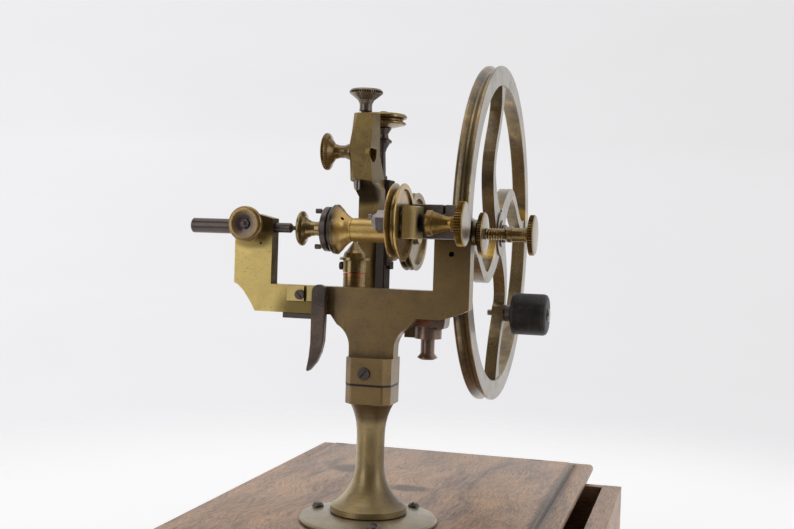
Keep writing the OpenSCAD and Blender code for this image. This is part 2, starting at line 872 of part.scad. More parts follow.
// The driven pulley has three lips and two grooves, and a dished right face
module drive_pulley() {
    p = pulley_x;
    w = pulley_w;
    groove = 1.9;
    color(old_brass)
        turned_x([
            [arbor_r + run_gap, p], [pulley_r - 0.3, p], [pulley_r, p + 0.3], [pulley_r, p + w * 0.12],
            [pulley_r - groove, p + w * 0.26], [pulley_r - groove, p + w * 0.3],
            [pulley_r - 0.1, p + w * 0.46],
            [pulley_r - 0.1, p + w * 0.54], [pulley_r - groove, p + w * 0.7],
            [pulley_r - groove, p + w * 0.74],
            [pulley_r, p + w * 0.88], [pulley_r, p + w - 0.3], [pulley_r - 0.3, p + w],
            [pulley_r - 2.6, p + w], [pulley_r - 3.2, p + w - 1.6], [arbor_r + 3.4, p + w - 1.6],
            [arbor_r + 2.8, p + w + 0.8], [arbor_r + run_gap, p + w + 0.8]
        ]);
}

// Idler unit in front of the frame

bracket_z0 = idler_axis_z - 6.7;
bracket_z1 = idler_axis_z + 8;

// A steel bracket runs forward from the right arm and turns left behind the block
module idler_bracket() {
    slit = 0.8;
    slit_x = arm_out - 7;
    color(steel)
        difference() {
            union() {
                slab([block_x, bracket_y, bracket_z0], [arm_out, bracket_y + 9.5, bracket_z1]);
                slab([arm_in + 1.5, bracket_y + 9, bracket_z0], [arm_out, -plate_y, bracket_z1]);
            }
            slab([slit_x, bracket_y - eps, bracket_z1 - 4], [slit_x + slit, bracket_y + 5, bracket_z1 + eps]);
        }
}

module bearing_block() {
    h = block_s / 2;
    color(brass)
        difference() {
            slab([block_x, idler_axis_y - h, idler_axis_z - h],
                 [block_x + block_w, bracket_y, idler_axis_z + h]);
            rod_x(shaft_r + run_gap, block_x - eps, block_x + block_w + eps, idler_axis_y, idler_axis_z);
        }
}

// The shaft's hexagon holds the idler on; a small pin stands on its end
module idler_shaft() {
    hex_x = idler_x - 9;
    color(steel) {
        rod_x(shaft_r, hex_x + 3, block_x + block_w / 2, idler_axis_y, idler_axis_z);
        translate([hex_x + 2, idler_axis_y, idler_axis_z])
            rotate([0, 90, 0])
                rotate([0, 0, 10])
                    cylinder(r = 4.9, h = idler_x - seat - hex_x - 2, $fn = 6);
        turned_x([
            [0, hex_x - 0.2], [2.6, hex_x - 0.2], [4.2, hex_x + 2.1], [0, hex_x + 2.1]
        ], idler_axis_y, idler_axis_z);
        rod_x(0.8, hex_x - 2, hex_x + 1, idler_axis_y, idler_axis_z + 2);
        rod_x(1.1, hex_x - 2.2, hex_x - 0.8, idler_axis_y, idler_axis_z + 2);
    }
}

module idler_pulley() {
    p = idler_x;
    w = idler_w;
    r = idler_r;
    color(brass)
        turned_x([
            [shaft_r + run_gap, p], [4.6, p], [4.8, p + 0.9], [r - 3, p + 0.9], [r - 2.4, p], [r - 0.3, p],
            [r, p + 0.3],
            [r, p + 0.7], [r - 2.6, p + w * 0.42], [r - 2.6, p + w * 0.58], [r, p + w - 0.7],
            [r, p + w - 0.3],
            [r - 0.3, p + w], [r - 2.4, p + w], [r - 3, p + w - 0.9], [5.6, p + w - 0.9], [5.4, p + w],
            [shaft_r + run_gap, p + w]
        ], idler_axis_y, idler_axis_z);
}

// Knurled knob with a trumpet neck, screwed into the block from the right
module idler_knob() {
    s = block_x + block_w;
    k = arm_out + 1.1;
    r = idler_knob_r;
    color(old_brass)
        turned_x([
            [0, s - block_w / 2 + seat], [shaft_r, s - block_w / 2 + seat], [shaft_r, s + seat],
            [3.8, s + seat],
            [3.8, s + 3.3], [5.35, s + 3.3], [5.35, s + 5.9], [4.7, s + 6], [4.4, s + 7.6], [3.4, s + 10],
            [2.9, s + 12.5], [3.1, s + 13.8], [4.6, k - 0.8], [r - 1.6, k - 0.3], [r, k], [r, k + 3],
            [r - 0.4, k + 3.4], [r * 0.5, k + 3.2], [0, k + 3.2]
        ], idler_axis_y, idler_axis_z);
}

// Right centre screw

module centre_screw() {
    tip = spindle_right + seat;
    k = arm_out + 25.4;
    r = screw_knob_r;
    color(old_brass)
        turned_x([
            [0, tip], [0.5, tip + 0.5], [screw_r - 0.3, tip + 2.6], [screw_r, tip + 3], [screw_r, k - 9.9],
            [screw_r + 0.8, k - 9.9], [screw_r + 0.8, k - 8], [screw_r + 0.4, k - 7.8],
            [screw_r + 0.3, k - 3],
            [screw_r + 1.2, k - 1.2], [r - 2, k - 0.4], [r, k], [r, k + 2], [r - 0.6, k + 2.4],
            [r * 0.4, k + 2.6],
            [0, k + 2.7]
        ]);
}

module lock_nut() {
    n = arm_out + seat;
    r = lock_r;
    color(old_brass)
        turned_x([
            [screw_r + run_gap, n], [5.4, n], [5.4, n + 1.6], [4.4, n + 2.2], [r - 2, n + 2.6], [r, n + 3],
            [r, n + 4.8], [r - 0.5, n + 5.3], [screw_r + 1.8, n + 5.6], [screw_r + run_gap, n + 5.6]
        ]);
}

// Rear parts

// The bed runs back from the frame plate and carries the post, the standard and the column
module rear_bed() {
    color(old_brass)
        difference() {
            slab([bed_x0, plate_y, bed_top - bed_h], [bed_x1, column_y + column_d, bed_top]);
            rod_z(stem_r + run_gap, bed_top - 3, bed_top + eps, post_x, post_y);
        }
}

post_z1 = bed_top + 8.6;
washer_t = 1.3;
stem_r = 2.5;
barrel_top = post_z1 + washer_t + 6;

module post_base() {
    color(old_brass)
        difference() {
            rod_z(post_r, bed_top, post_z1, post_x, post_y, round_fn);
            rod_z(stem_r + run_gap, bed_top - eps, post_z1 + eps, post_x, post_y);
        }
}

module post_washer() {
    color(copper)
        difference() {
            rod_z(post_r + 0.1, post_z1, post_z1 + washer_t, post_x, post_y, round_fn);
            rod_z(stem_r + run_gap, post_z1 - eps, post_z1 + washer_t + eps, post_x, post_y);
        }
}

post_screw_z = post_z1 + washer_t + 3.2;
post_screw_shank = 0.9;

// The lower centre: stem, barrel, thin disc and cone in one piece
module post_centre() {
    z0 = post_z1 + washer_t;
    color(brass)
        difference() {
            turned_z([
                [0, bed_top - 2], [stem_r, bed_top - 2], [stem_r, z0 + seat], [post_r + 0.3, z0 + seat],
                [post_r + 0.3, barrel_top],
                [post_r + 1.9, barrel_top], [post_r + 1.9, barrel_top + 1.2],
                [post_r + 0.3, barrel_top + 1.6],
                [post_r - 0.2, barrel_top + 3.4], [post_r - 1.4, barrel_top + 4.6], [0.6, barrel_top + 9],
                [0, barrel_top + 9]
            ], post_x, post_y);
            rod_x(post_screw_shank + run_gap, post_x - post_r - 1, post_x - 2, post_y, post_screw_z);
        }
}

module post_screw() {
    x1 = post_x - post_r - 0.3;
    color(dark_steel) {
        rod_x(post_screw_shank, x1 - 0.5, post_x - 2.5, post_y, post_screw_z);
        rod_x(1.9, x1 - 1.6, x1 - 0.1, post_y, post_screw_z);
    }
}

side_hole_r = 5;
knob_shank = 2.2;
head_pin_r = 1.45;
head_pin_x = head_x0 + 3.7;
head_pin_y = standard_y + 2.2;
cove_drop = 8;
cove_out = 2;
shoulder_y = standard_y + 26;
low_facet_z = head_z + 16;
high_facet_z = head_z + 18;

// Cuts along a tall edge: the cut starts at p, faces the compass angle a and leans by the angle lean
module edge_cut(p, a, lean) {
    reach = 2 * head_h;
    translate(p)
        rotate([0, 0, a])
            rotate([0, lean, 0])
                translate([0, -reach / 2, -reach / 2])
                    cube([reach, reach, reach]);
}

// The standard: a square bar that widens through a cove into the head block
module rear_standard() {
    y0 = standard_y;
    side = [
        [bar_y, bed_top], [bar_y + bar_d, bed_top], [bar_y + bar_d, head_z - cove_drop],
        [bar_y + bar_d + cove_out, head_z - 3], [shoulder_y, head_z], [y0 + 15.3, side_z], [y0 + 9, head_top],
        [y0, head_top], [y0, head_z], [y0 + 4.2, head_z - 0.6],
        [bar_y - 0.6, head_z - cove_drop + 0.6], [bar_y, head_z - cove_drop]
    ];
    front = [
        [bar_x0, bed_top], [bar_x1, bed_top], [bar_x1, head_z - cove_drop - 1], [bar_x1 - 0.6, head_z - 4],
        [head_x1, head_z - 1], [head_x1, head_z + 14], [head_x1 + 1.6, head_top], [head_x0 + 1.1, head_top],
        [head_x0 + 0.8, head_z + 22], [head_x0, head_z + 17], [head_x0, head_z - 0.8],
        [bar_x0 - 2.2, head_z - 0.9],
        [bar_x0 - 2.2, head_z - 3.2], [bar_x0, head_z - cove_drop]
    ];
    color(old_brass)
        difference() {
            intersection() {
                plate_xz(front, y0, shoulder_y + 1);
                translate([head_x0 - 1, 0, 0])
                    rotate([90, 0, 90])
                        linear_extrude(bar_x1 - head_x0 + 2)
                            polygon(side);
            }
            edge_cut([head_x1, y0, low_facet_z], -45, 9);
            edge_cut([head_x0, y0, low_facet_z], -135, 7);
            edge_cut([head_x0, y0, high_facet_z], -135, -10);
            rod_z(knob_shank + run_gap, side_z + 5, head_top + eps, knob_x, knob_y);
            rod_x(knob_shank + run_gap, head_x0 - eps, head_x1 - 2, knob_y, side_z);
            rod_x(side_hole_r, head_x1 - 2.6, head_x1 + eps, knob_y, side_z);
            rod_z(head_pin_r + run_gap, head_z - 1, head_z + 4, head_pin_x, head_pin_y);
        }
}

// The small steel pin under the head block
module head_pin() {
    color(steel)
        turned_z([
            [0, head_z - 5], [head_pin_r - 0.4, head_z - 5], [head_pin_r, head_z - 4.4],
            [head_pin_r, head_z + 3.6],
            [0, head_z + 3.6]
        ], head_pin_x, head_pin_y);
}

module top_knob() {
    z0 = head_top + 1;
    r = top_knob_r;
    color(old_brass)
        turned_z([
            [0, side_z + 5.5], [knob_shank, side_z + 5.5], [knob_shank, z0], [3.2, z0], [3, z0 + 2],
            [3.1, z0 + 3.6],
            [4, z0 + 5.4], [r - 1.8, z0 + 7.2], [r, z0 + 8.6], [r, z0 + 9.6], [r - 0.8, z0 + 10.6],
            [0, z0 + 10.9]
        ], knob_x, knob_y);
}

module side_knob() {
    x1 = head_x0 - seat;
    r = side_knob_r;
    color(old_brass)
        turned_x([
            [0, head_x1 - 3], [knob_shank, head_x1 - 3], [knob_shank, x1], [4.3, x1], [3.9, x1 - 1.4],
            [3.1, x1 - 3.4],
            [3.1, x1 - 6], [3.8, x1 - 8.4], [r - 2.4, x1 - 10.6], [r, x1 - 11.8], [r, x1 - 13],
            [r - 0.5, x1 - 13.5], [r * 0.5, x1 - 13.2], [1.9, x1 - 13.4], [1.8, x1 - 14.6], [1, x1 - 15.4],
            [0, x1 - 15.5]
        ], knob_y, side_z);
}

spindle_bore = 1.9;

// The column behind the standard bears the vertical spindle
module rear_column() {
    bulge = 0.6;
    color(dark_steel)
        difference() {
            union() {
                slab([column_x0, column_y, bed_top], [column_x1 - 1.2, column_y + column_d, axis_z - 16]);
                slab([column_x0, column_y, axis_z - 17], [column_x1, column_y + column_d, column_top]);
                slab([column_x1 - 2, column_y + 4, axis_z - 19],
                     [column_x1 + bulge, column_y + column_d, axis_z - 15]);
            }
            rod_z(spindle_bore + run_gap, column_top - 18, column_top + eps, rear_x, rear_y);
        }
}

module rear_spindle() {
    c = column_top;
    color(dark_steel)
        turned_z([
            [0, c - 17.5], [spindle_bore, c - 17.5], [spindle_bore, c + seat], [2.9, c + seat],
            [2.9, c + 1.8],
            [2.1, c + 2.6], [1.6, c + 14], [2.2, c + 16], [3.6, c + 18.4], [4.6, c + 19], [4.6, c + 20],
            [3, c + 21.2], [2.6, c + 23.2], [4.3, disc_z],
            [spindle_bore, disc_z], [spindle_bore, disc_z + disc_t], [0, disc_z + disc_t]
        ], rear_x, rear_y);
}

module grooved_disc() {
    r = disc_r;
    z0 = disc_z + seat / 3;
    t = disc_t - 1;
    color(old_brass)
        turned_z([
            [spindle_bore + run_gap, z0], [r * 0.45, z0 + 0.4], [r - 0.8, z0 + 1.8], [r - 0.4, z0 + 2.2],
            [r - 0.4, z0 + 2.9],
            [r - 2, z0 + 3.6], [r - 2, z0 + 4.4], [r, z0 + 5.2], [r, z0 + 6.2], [r - 0.6, z0 + t - 0.6],
            [r * 0.6, z0 + t], [spindle_bore + run_gap, z0 + t]
        ], rear_x, rear_y);
}

// Hand wheel and its carrier

// A flat arm back from the column and a cross arm with a round boss
module wheel_arm() {
    cross_y0 = wheel_y - boss_r;
    cross_y1 = wheel_y + boss_r;
    color(old_brass)
        difference() {
            union() {
                slab([carrier_x0, column_y + column_d, arm_z0], [carrier_x1, cross_y1, arm_z1]);
                slab([carrier_x0, cross_y0, arm_z0], [boss_x - 9, cross_y1, arm_z1]);
                rod_x(boss_r, boss_x - 10, boss_x, wheel_y, wheel_z, round_fn);
            }
            rod_x(axle_r + run_gap, carrier_x0 + 6, boss_x + eps, wheel_y, wheel_z);
        }
}

module wheel_axle() {
    hub_right = wheel_x + hub_w / 2 + seat;
    color(steel)
        turned_x([
            [0, carrier_x0 + 7], [axle_r, carrier_x0 + 7], [axle_r, hub_right], [5.2, hub_right],
            [5.2, hub_right + 1.6],
            [4, hub_right + 2.6], [0, hub_right + 3]
        ], wheel_y, wheel_z);
}

// One S-shaped spoke's centre line, as shares of the wheel's radius
spoke_line = [
    [-0.085, 0.075], [-0.18, 0.18], [-0.245, 0.31], [-0.25, 0.41], [-0.2, 0.52], [-0.115, 0.65],
    [-0.06, 0.78],
    [-0.05, 0.93]
];

// A smooth curve through four places
function curve_at(a, b, c, d, t) =
    0.5 * ((2 * b) + (c - a) * t + (2 * a - 5 * b + 4 * c - d) * t * t + (3 * b - a - 3 * c + d) * t * t * t);

function pick(list, i) = list[max(0, min(len(list) - 1, i))];

spoke_steps = 4;
spoke_path = concat(
    [for (i = [0:len(spoke_line) - 2], s = [0:spoke_steps - 1])
        wheel_r * curve_at(pick(spoke_line, i - 1), spoke_line[i], spoke_line[i + 1], pick(spoke_line, i + 2),
                           s / spoke_steps)],
    [wheel_r * spoke_line[len(spoke_line) - 1]]
);

// How much a spoke widens into the hub's web and into the rim
web_share = 1.7;
web_end = 0.42;
flare_share = 1.6;
flare_start = 0.8;

// Half the spoke's width at one point of its path
function spoke_half(i) =
    let (
        t = i / (len(spoke_path) - 1),
        web = pow(max(0, 1 - t / web_end), 1.4),
        flare = pow(max(0, (t - flare_start) / (1 - flare_start)), 1.7)
    )
        spoke_w / 2 * (1 + web_share * web + flare_share * flare);

function heading(path, i) = pick(path, i + 1) - pick(path, i - 1);
function beside(path, i, w) = let (d = heading(path, i)) path[i] + w * [-d[1], d[0]] / norm(d);

spoke_outline = concat(
    [for (i = [0:len(spoke_path) - 1]) beside(spoke_path, i, spoke_half(i))],
    [for (i = [len(spoke_path) - 1:-1:0]) beside(spoke_path, i, -spoke_half(i))]
);

// Places a flat shape drawn in the YZ plane, thick along X about the wheel's middle
module across_wheel(t) {
    translate([wheel_x - t / 2, wheel_y, wheel_z])
        rotate([90, 0, 90])
            linear_extrude(t)
                children();
}

module hand_wheel() {
    r = wheel_r;
    h = rim_w / 2;
    inner = r - rim_t;
    color(brass)
        difference() {
            union() {
                translate([wheel_x, wheel_y, wheel_z])
                    rotate([0, 90, 0])
                        rotate_extrude($fn = 180)
                            polygon([
                                [inner, -h + 0.4], [inner + 0.4, -h], [r - 0.4, -h], [r, -h + 0.4],
                                [r, -h + 1.4],
                                [r - 2.2, -0.5], [r - 2.2, 0.5], [r, h - 1.4], [r, h - 0.4], [r - 0.4, h],
                                [inner + 0.4, h], [inner, h - 0.4]
                            ]);
                across_wheel(spoke_t)
                    union() {
                        for (i = [0:3])
                            rotate([0, 0, 90 * i])
                                polygon(spoke_outline);
                        translate([handle_u, handle_v])
                            circle(r = 6.6, $fn = small_fn);
                    }
                rod_x(hub_r, wheel_x - rim_w / 2, wheel_x + rim_w / 2, wheel_y, wheel_z, round_fn);
                rod_x(hub_r * 0.6, wheel_x - hub_w / 2, wheel_x + hub_w / 2, wheel_y, wheel_z, round_fn);
            }
            rod_x(axle_r + run_gap, wheel_x - hub_w, wheel_x + hub_w, wheel_y, wheel_z);
            rod_x(pin_r + run_gap, wheel_x - rim_w, wheel_x + rim_w, handle_y, handle_z);
        }
}

// The crank pin: riveted tail, shoulder and the shaft that the grip turns on
module handle_pin() {
    back = wheel_x - spoke_t / 2;
    tail_r = 1.8;
    color(steel)
        turned_x([
            [0, back - 3.6], [tail_r - 0.3, back - 3.6], [tail_r, back - 3.2], [tail_r, back], [pin_r, back],
            [pin_r, spoke_face], [5, spoke_face], [5, grip_x - 1.4], [4.2, grip_x - seat],
            [pin_r, grip_x - seat],
            [pin_r, grip_x + grip_l + seat], [4, grip_x + grip_l + seat], [3.6, grip_x + grip_l + 1.2],
            [0, grip_x + grip_l + 1.4]
        ], handle_y, handle_z);
}

module handle_grip() {
    r = grip_r;
    g = grip_x;
    l = grip_l;
    color(black_grip)
        turned_x([
            [pin_r + run_gap, g], [r - 1.6, g], [r - 0.5, g + 0.6], [r, g + 2], [r, g + l - 2.4],
            [r - 0.6, g + l - 0.8],
            [r - 2, g + l], [pin_r + run_gap, g + l]
        ], handle_y, handle_z);
}

box_bottom();
box_left_wall();
box_near_wall();
box_far_wall();
box_top();
drawer_front();
drawer_near_side();
drawer_far_side();
drawer_back();
drawer_floor();
drawer_knob();
base_flange();
flange_screws();
pillar();
pillar_collar();
frame_socket();
socket_screws();
frame_plate();
under_lug();
under_stud();
left_arm();
arm_clamp_plates();
arm_clamp_screw();
arm_gib();
left_runner();
runner_knob();
runner_knob_stud();
hook_lever();
hook_pivot();
main_spindle();
mushroom_nut();
cutter_ring();
spindle_bell();
drive_pulley();
idler_bracket();
bearing_block();
idler_shaft();
idler_pulley();
idler_knob();
centre_screw();
lock_nut();
rear_bed();
post_base();
post_washer();
post_centre();
post_screw();
rear_standard();
head_pin();
top_knob();
side_knob();
rear_column();
rear_spindle();
grooved_disc();
wheel_arm();
wheel_axle();
hand_wheel();
handle_pin();
handle_grip();
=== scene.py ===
# %% [markdown]
# A watchmaker's topping lathe: a Y-shaped brass frame on a turned pillar, with a live
# spindle, two centres, pulleys and a large hand wheel, all standing on a walnut drawer box.
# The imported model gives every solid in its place. This script gives them their looks.

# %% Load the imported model
import json
import math

import bmesh
import bpy
from mathutils import Matrix, Vector


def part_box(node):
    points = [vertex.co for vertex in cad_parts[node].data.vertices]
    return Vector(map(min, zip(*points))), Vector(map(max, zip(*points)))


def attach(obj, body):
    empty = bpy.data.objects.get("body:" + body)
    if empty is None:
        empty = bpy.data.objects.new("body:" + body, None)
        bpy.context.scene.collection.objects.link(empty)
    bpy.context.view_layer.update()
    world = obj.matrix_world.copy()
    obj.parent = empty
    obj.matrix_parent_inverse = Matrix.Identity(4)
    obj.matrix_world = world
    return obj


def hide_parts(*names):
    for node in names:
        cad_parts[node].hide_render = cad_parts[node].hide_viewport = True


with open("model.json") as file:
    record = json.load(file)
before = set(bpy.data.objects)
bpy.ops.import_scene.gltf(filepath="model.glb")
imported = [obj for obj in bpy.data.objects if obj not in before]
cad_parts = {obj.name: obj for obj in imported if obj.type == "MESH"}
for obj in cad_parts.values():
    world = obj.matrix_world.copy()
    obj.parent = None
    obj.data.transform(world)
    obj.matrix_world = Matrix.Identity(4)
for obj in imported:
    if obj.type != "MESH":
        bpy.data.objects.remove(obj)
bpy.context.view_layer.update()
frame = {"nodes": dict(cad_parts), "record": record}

MM = 0.001
nodes = frame["nodes"]

# %% [markdown]
# Every size below is in real millimetres, because a maker thinks in them, and Blender
# works in metres. The model's own boxes say where each piece is, so nothing is placed by eye.

# %% Measure a node in millimetres
def box_mm(node):
    """Lowest and highest corner of a node, in millimetres."""
    low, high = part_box(node)
    return low / MM, high / MM


def middle_mm(node):
    """The middle of a node's box, which lies on the axis of a turned piece."""
    low, high = box_mm(node)
    return (low + high) / 2


spindle = middle_mm("main_spindle")
print("the spindle lies", round(spindle.z, 1), "mm above the bench")

# %% [markdown]
# The camera stands in front of the lathe, a little to the right of it, at the height of the
# spindle. A camera can be aimed with a constraint, but three angles say exactly how it
# was turned: left by the yaw, down by the pitch, and tipped by the roll.

# %% Place the camera
CAMERA_PLACE = Vector((143.98, -480.56, 190.87))
CAMERA_YAW = math.radians(15.6)
CAMERA_PITCH = math.radians(1.3)
CAMERA_ROLL = math.radians(1.85)
SENSOR_WIDTH = 36.0
PICTURE_WIDTH = 794
FOCAL_PIXELS = 1103
NEAREST_SEEN = 10

ahead = Vector((
    -math.sin(CAMERA_YAW) * math.cos(CAMERA_PITCH),
    math.cos(CAMERA_YAW) * math.cos(CAMERA_PITCH),
    -math.sin(CAMERA_PITCH),
))
level = Vector((math.cos(CAMERA_YAW), math.sin(CAMERA_YAW), 0))
upright = level.cross(ahead)
right = math.cos(CAMERA_ROLL) * level + math.sin(CAMERA_ROLL) * upright
up = math.cos(CAMERA_ROLL) * upright - math.sin(CAMERA_ROLL) * level
turned = Matrix((right, up, -ahead)).transposed().to_4x4()


def new_object(name, data):
    """Adds an object to the scene."""
    thing = bpy.data.objects.new(name, data)
    bpy.context.scene.collection.objects.link(thing)
    return thing


camera = new_object("camera", bpy.data.cameras.new("camera"))
camera.matrix_world = Matrix.Translation(CAMERA_PLACE * MM) @ turned
camera.data.sensor_width = SENSOR_WIDTH
camera.data.lens = FOCAL_PIXELS / PICTURE_WIDTH * SENSOR_WIDTH
camera.data.clip_start = NEAREST_SEEN * MM
bpy.context.scene.camera = camera
bpy.context.scene.view_settings.view_transform = "Standard"
print("lens", round(camera.data.lens, 2), "mm")

# %% [markdown]
# A material is a small tree of nodes. One function adds a node, sets it and wires it, so
# that each finish reads as a list of its layers. Colours are written as sRGB hex, as on a
# paint chart, and turned to the linear values that light adds up in.

# %% Colour and node helpers
def linear(hex_colour):
    """An sRGB hex colour as linear RGBA."""
    shares = [int(hex_colour[i:i + 2], 16) / 255 for i in (1, 3, 5)]
    return [s / 12.92 if s <= 0.04045 else ((s + 0.055) / 1.055) ** 2.4 for s in shares] + [1.0]


def add(tree, kind, settings=None, links=None):
    """Adds one node. Settings name its properties, sockets or ramp stops, and links feed its sockets."""
    node = tree.nodes.new(kind)
    for key, value in (settings or {}).items():
        if key == "stops":
            for place, _ in value[2:]:
                node.color_ramp.elements.new(place)
            for stop, (place, colour) in zip(node.color_ramp.elements, value):
                stop.position = place
                stop.color = linear(colour)
        elif isinstance(key, str) and hasattr(node, key):
            setattr(node, key, value)
        else:
            node.inputs[key].default_value = value
    for key, source in (links or {}).items():
        tree.links.new(source, node.inputs[key])
    return node


def per_mm(size):
    """The texture scale whose features are that many millimetres across."""
    return 1 / (size * MM)


def new_material(name):
    """An empty material and its node tree."""
    material = bpy.data.materials.new(name)
    material.use_nodes = True
    material.node_tree.nodes.clear()
    return material, material.node_tree


# A colour mix node keeps its colour sockets at these places
MIX_A, MIX_B, MIX_OUT = 6, 7, 2
print("brass base colour", [round(c, 3) for c in linear("#C9AE6C")])

# %% [markdown]
# The lathe stands on a white cloth that reaches to a white cloth wall. The floor is a plain
# diffuse sheet, so it keeps the shadow. To the camera and in reflections it also glows a
# little, because making the lamps brighter instead would wash out the brass. Far from the
# lathe it fades out and the wall shows through, so that no hard horizon shows.

# %% The cloth's material
CLOTH = "#F2F2F3"
CLOTH_ROUGHNESS = 0.9
CLOTH_GLOW = 0.36
THREAD_WIDTH = 1.2
FOLD_WIDTH = 260
FOLD_SHARE = 12.0
FADE_MIDDLE = Vector((0, 0.12, 0))
FADE_FROM, FADE_TO = 0.32, 0.68

cotton, tree = new_material("white cotton cloth, ironed")
place = add(tree, "ShaderNodeTexCoord").outputs["Object"]
weave = add(tree, "ShaderNodeTexNoise", {"Scale": per_mm(THREAD_WIDTH), "Detail": 2.0}, {"Vector": place})
folds = add(tree, "ShaderNodeTexNoise", {"Scale": per_mm(FOLD_WIDTH), "Detail": 2.0}, {"Vector": place})
relief = add(tree, "ShaderNodeMath", {"operation": "MULTIPLY_ADD", 1: FOLD_SHARE},
             {0: folds.outputs["Fac"], 2: weave.outputs["Fac"]})
bump = add(tree, "ShaderNodeBump", {"Strength": 0.2, "Distance": 0.3 * MM}, {"Height": relief.outputs[0]})
cloth = add(tree, "ShaderNodeBsdfPrincipled", {"Base Color": linear(CLOTH), "Roughness": CLOTH_ROUGHNESS},
            {"Normal": bump.outputs[0]})
ray = add(tree, "ShaderNodeLightPath")
not_matt = add(tree, "ShaderNodeMath", {"operation": "MAXIMUM"},
               {0: ray.outputs["Is Camera Ray"], 1: ray.outputs["Is Glossy Ray"]})
glow_level = add(tree, "ShaderNodeMath", {"operation": "MULTIPLY", 1: CLOTH_GLOW}, {0: not_matt.outputs[0]})
glow = add(tree, "ShaderNodeEmission", {"Color": linear(CLOTH)}, {"Strength": glow_level.outputs[0]})
near_cloth = add(tree, "ShaderNodeAddShader", {}, {0: cloth.outputs[0], 1: glow.outputs[0]})
nothing = add(tree, "ShaderNodeBsdfTransparent")
reach = add(tree, "ShaderNodeVectorMath", {"operation": "DISTANCE", 1: FADE_MIDDLE}, {0: place})
fade = add(tree, "ShaderNodeMapRange",
           {"interpolation_type": "SMOOTHSTEP", "From Min": FADE_FROM, "From Max": FADE_TO},
           {"Value": reach.outputs["Value"]})
surface = add(tree, "ShaderNodeMixShader", {},
              {0: fade.outputs[0], 1: near_cloth.outputs[0], 2: nothing.outputs[0]})
add(tree, "ShaderNodeOutputMaterial", {}, {"Surface": surface.outputs[0]})
print("cloth fades out between", FADE_FROM, "and", FADE_TO, "m from the lathe")

# %% [markdown]
# The floor itself is one flat disc. A plane would do too, but a disc has no corner that
# could show when the camera goes round the lathe. It is stage, not part of the object.

# %% Floor
FLOOR_RADIUS = 6.0
FLOOR_SIDES = 96

sheet = bmesh.new()
bmesh.ops.create_circle(sheet, cap_ends=True, segments=FLOOR_SIDES, radius=FLOOR_RADIUS)
floor_mesh = bpy.data.meshes.new("cloth_floor")
sheet.to_mesh(floor_mesh)
sheet.free()
floor_mesh.materials.append(cotton)
floor = new_object("cloth_floor", floor_mesh)
print("floor", FLOOR_RADIUS * 2, "m across")

# %% [markdown]
# Polished metal has no colour of its own to show: it shows the room. Behind and beside the
# lathe the room is white cloth, and in front of it, where the camera stands, the room
# is dark. The world holds that room for every light ray, and a plain pale wall with soft
# creases for the camera. A picture of a room would do it too, but a ramp from front to back
# is all that this metal shows.

# %% The room in the world shader
ROOM = [(0.0, "#2A2624"), (0.16, "#393532"), (0.3, "#8A8784"), (0.44, "#DAD9D8"), (1.0, "#F2F1F1")]
WALL = [(0.05, "#F3F2F4"), (0.45, "#EBEBED"), (1.0, "#E2E1E2")]
CREASE_SQUEEZE = (1.0, 1.0, 4.0)
CREASE_SHARE = 0.3

world = bpy.data.worlds.new("white cloth room")
bpy.context.scene.world = world
world.use_nodes = True
tree = world.node_tree
tree.nodes.clear()
view = add(tree, "ShaderNodeTexCoord").outputs["Generated"]
axes = add(tree, "ShaderNodeSeparateXYZ", {}, {0: view})
depth = add(tree, "ShaderNodeMath", {"operation": "MULTIPLY_ADD", 1: 0.5, 2: 0.5}, {0: axes.outputs["Y"]})
room = add(tree, "ShaderNodeValToRGB", {"stops": ROOM}, {"Fac": depth.outputs[0]})
# The wall darkens a little to the right and above a long crease
across = add(tree, "ShaderNodeMapRange", {"From Min": -0.6, "From Max": 0.15, "To Max": 0.6},
             {"Value": axes.outputs["X"]})
above = add(tree, "ShaderNodeMapRange",
            {"interpolation_type": "SMOOTHSTEP", "From Min": 0.07, "From Max": 0.10, "To Max": 0.14},
            {"Value": axes.outputs["Z"]})
stretched = add(tree, "ShaderNodeMapping", {"Scale": CREASE_SQUEEZE}, {"Vector": view})
creases = add(tree, "ShaderNodeTexNoise", {"Scale": 4.0, "Detail": 4.0, "Distortion": 0.5},
              {"Vector": stretched.outputs[0]})
shade = add(tree, "ShaderNodeMath", {"operation": "MULTIPLY_ADD", 1: CREASE_SHARE},
            {0: creases.outputs["Fac"], 2: across.outputs[0]})
depths = add(tree, "ShaderNodeMath", {"operation": "ADD"}, {0: shade.outputs[0], 1: above.outputs[0]})
wall = add(tree, "ShaderNodeValToRGB", {"stops": WALL}, {"Fac": depths.outputs[0]})
ray = add(tree, "ShaderNodeLightPath")
lit = add(tree, "ShaderNodeBackground", {"Strength": 1.0}, {"Color": room.outputs["Color"]})
seen = add(tree, "ShaderNodeBackground", {"Strength": 1.0}, {"Color": wall.outputs["Color"]})
shown = add(tree, "ShaderNodeMixShader", {},
            {0: ray.outputs["Is Camera Ray"], 1: lit.outputs[0], 2: seen.outputs[0]})
add(tree, "ShaderNodeOutputWorld", {}, {"Surface": shown.outputs[0]})
print("room shades", [colour for _, colour in ROOM])

# %% [markdown]
# Three area lamps finish the room: a large window at the front left, which puts the gold on
# the left arm and the long highlight on the pillar, a cool window at the right, which turns
# the right-hand faces pale, and a broad soft lamp above. Spot lamps would be simpler, but
# only a large lamp gives turned brass its broad soft streaks.

# %% Lamps
AIM = Vector((0, 20, 170)) * MM
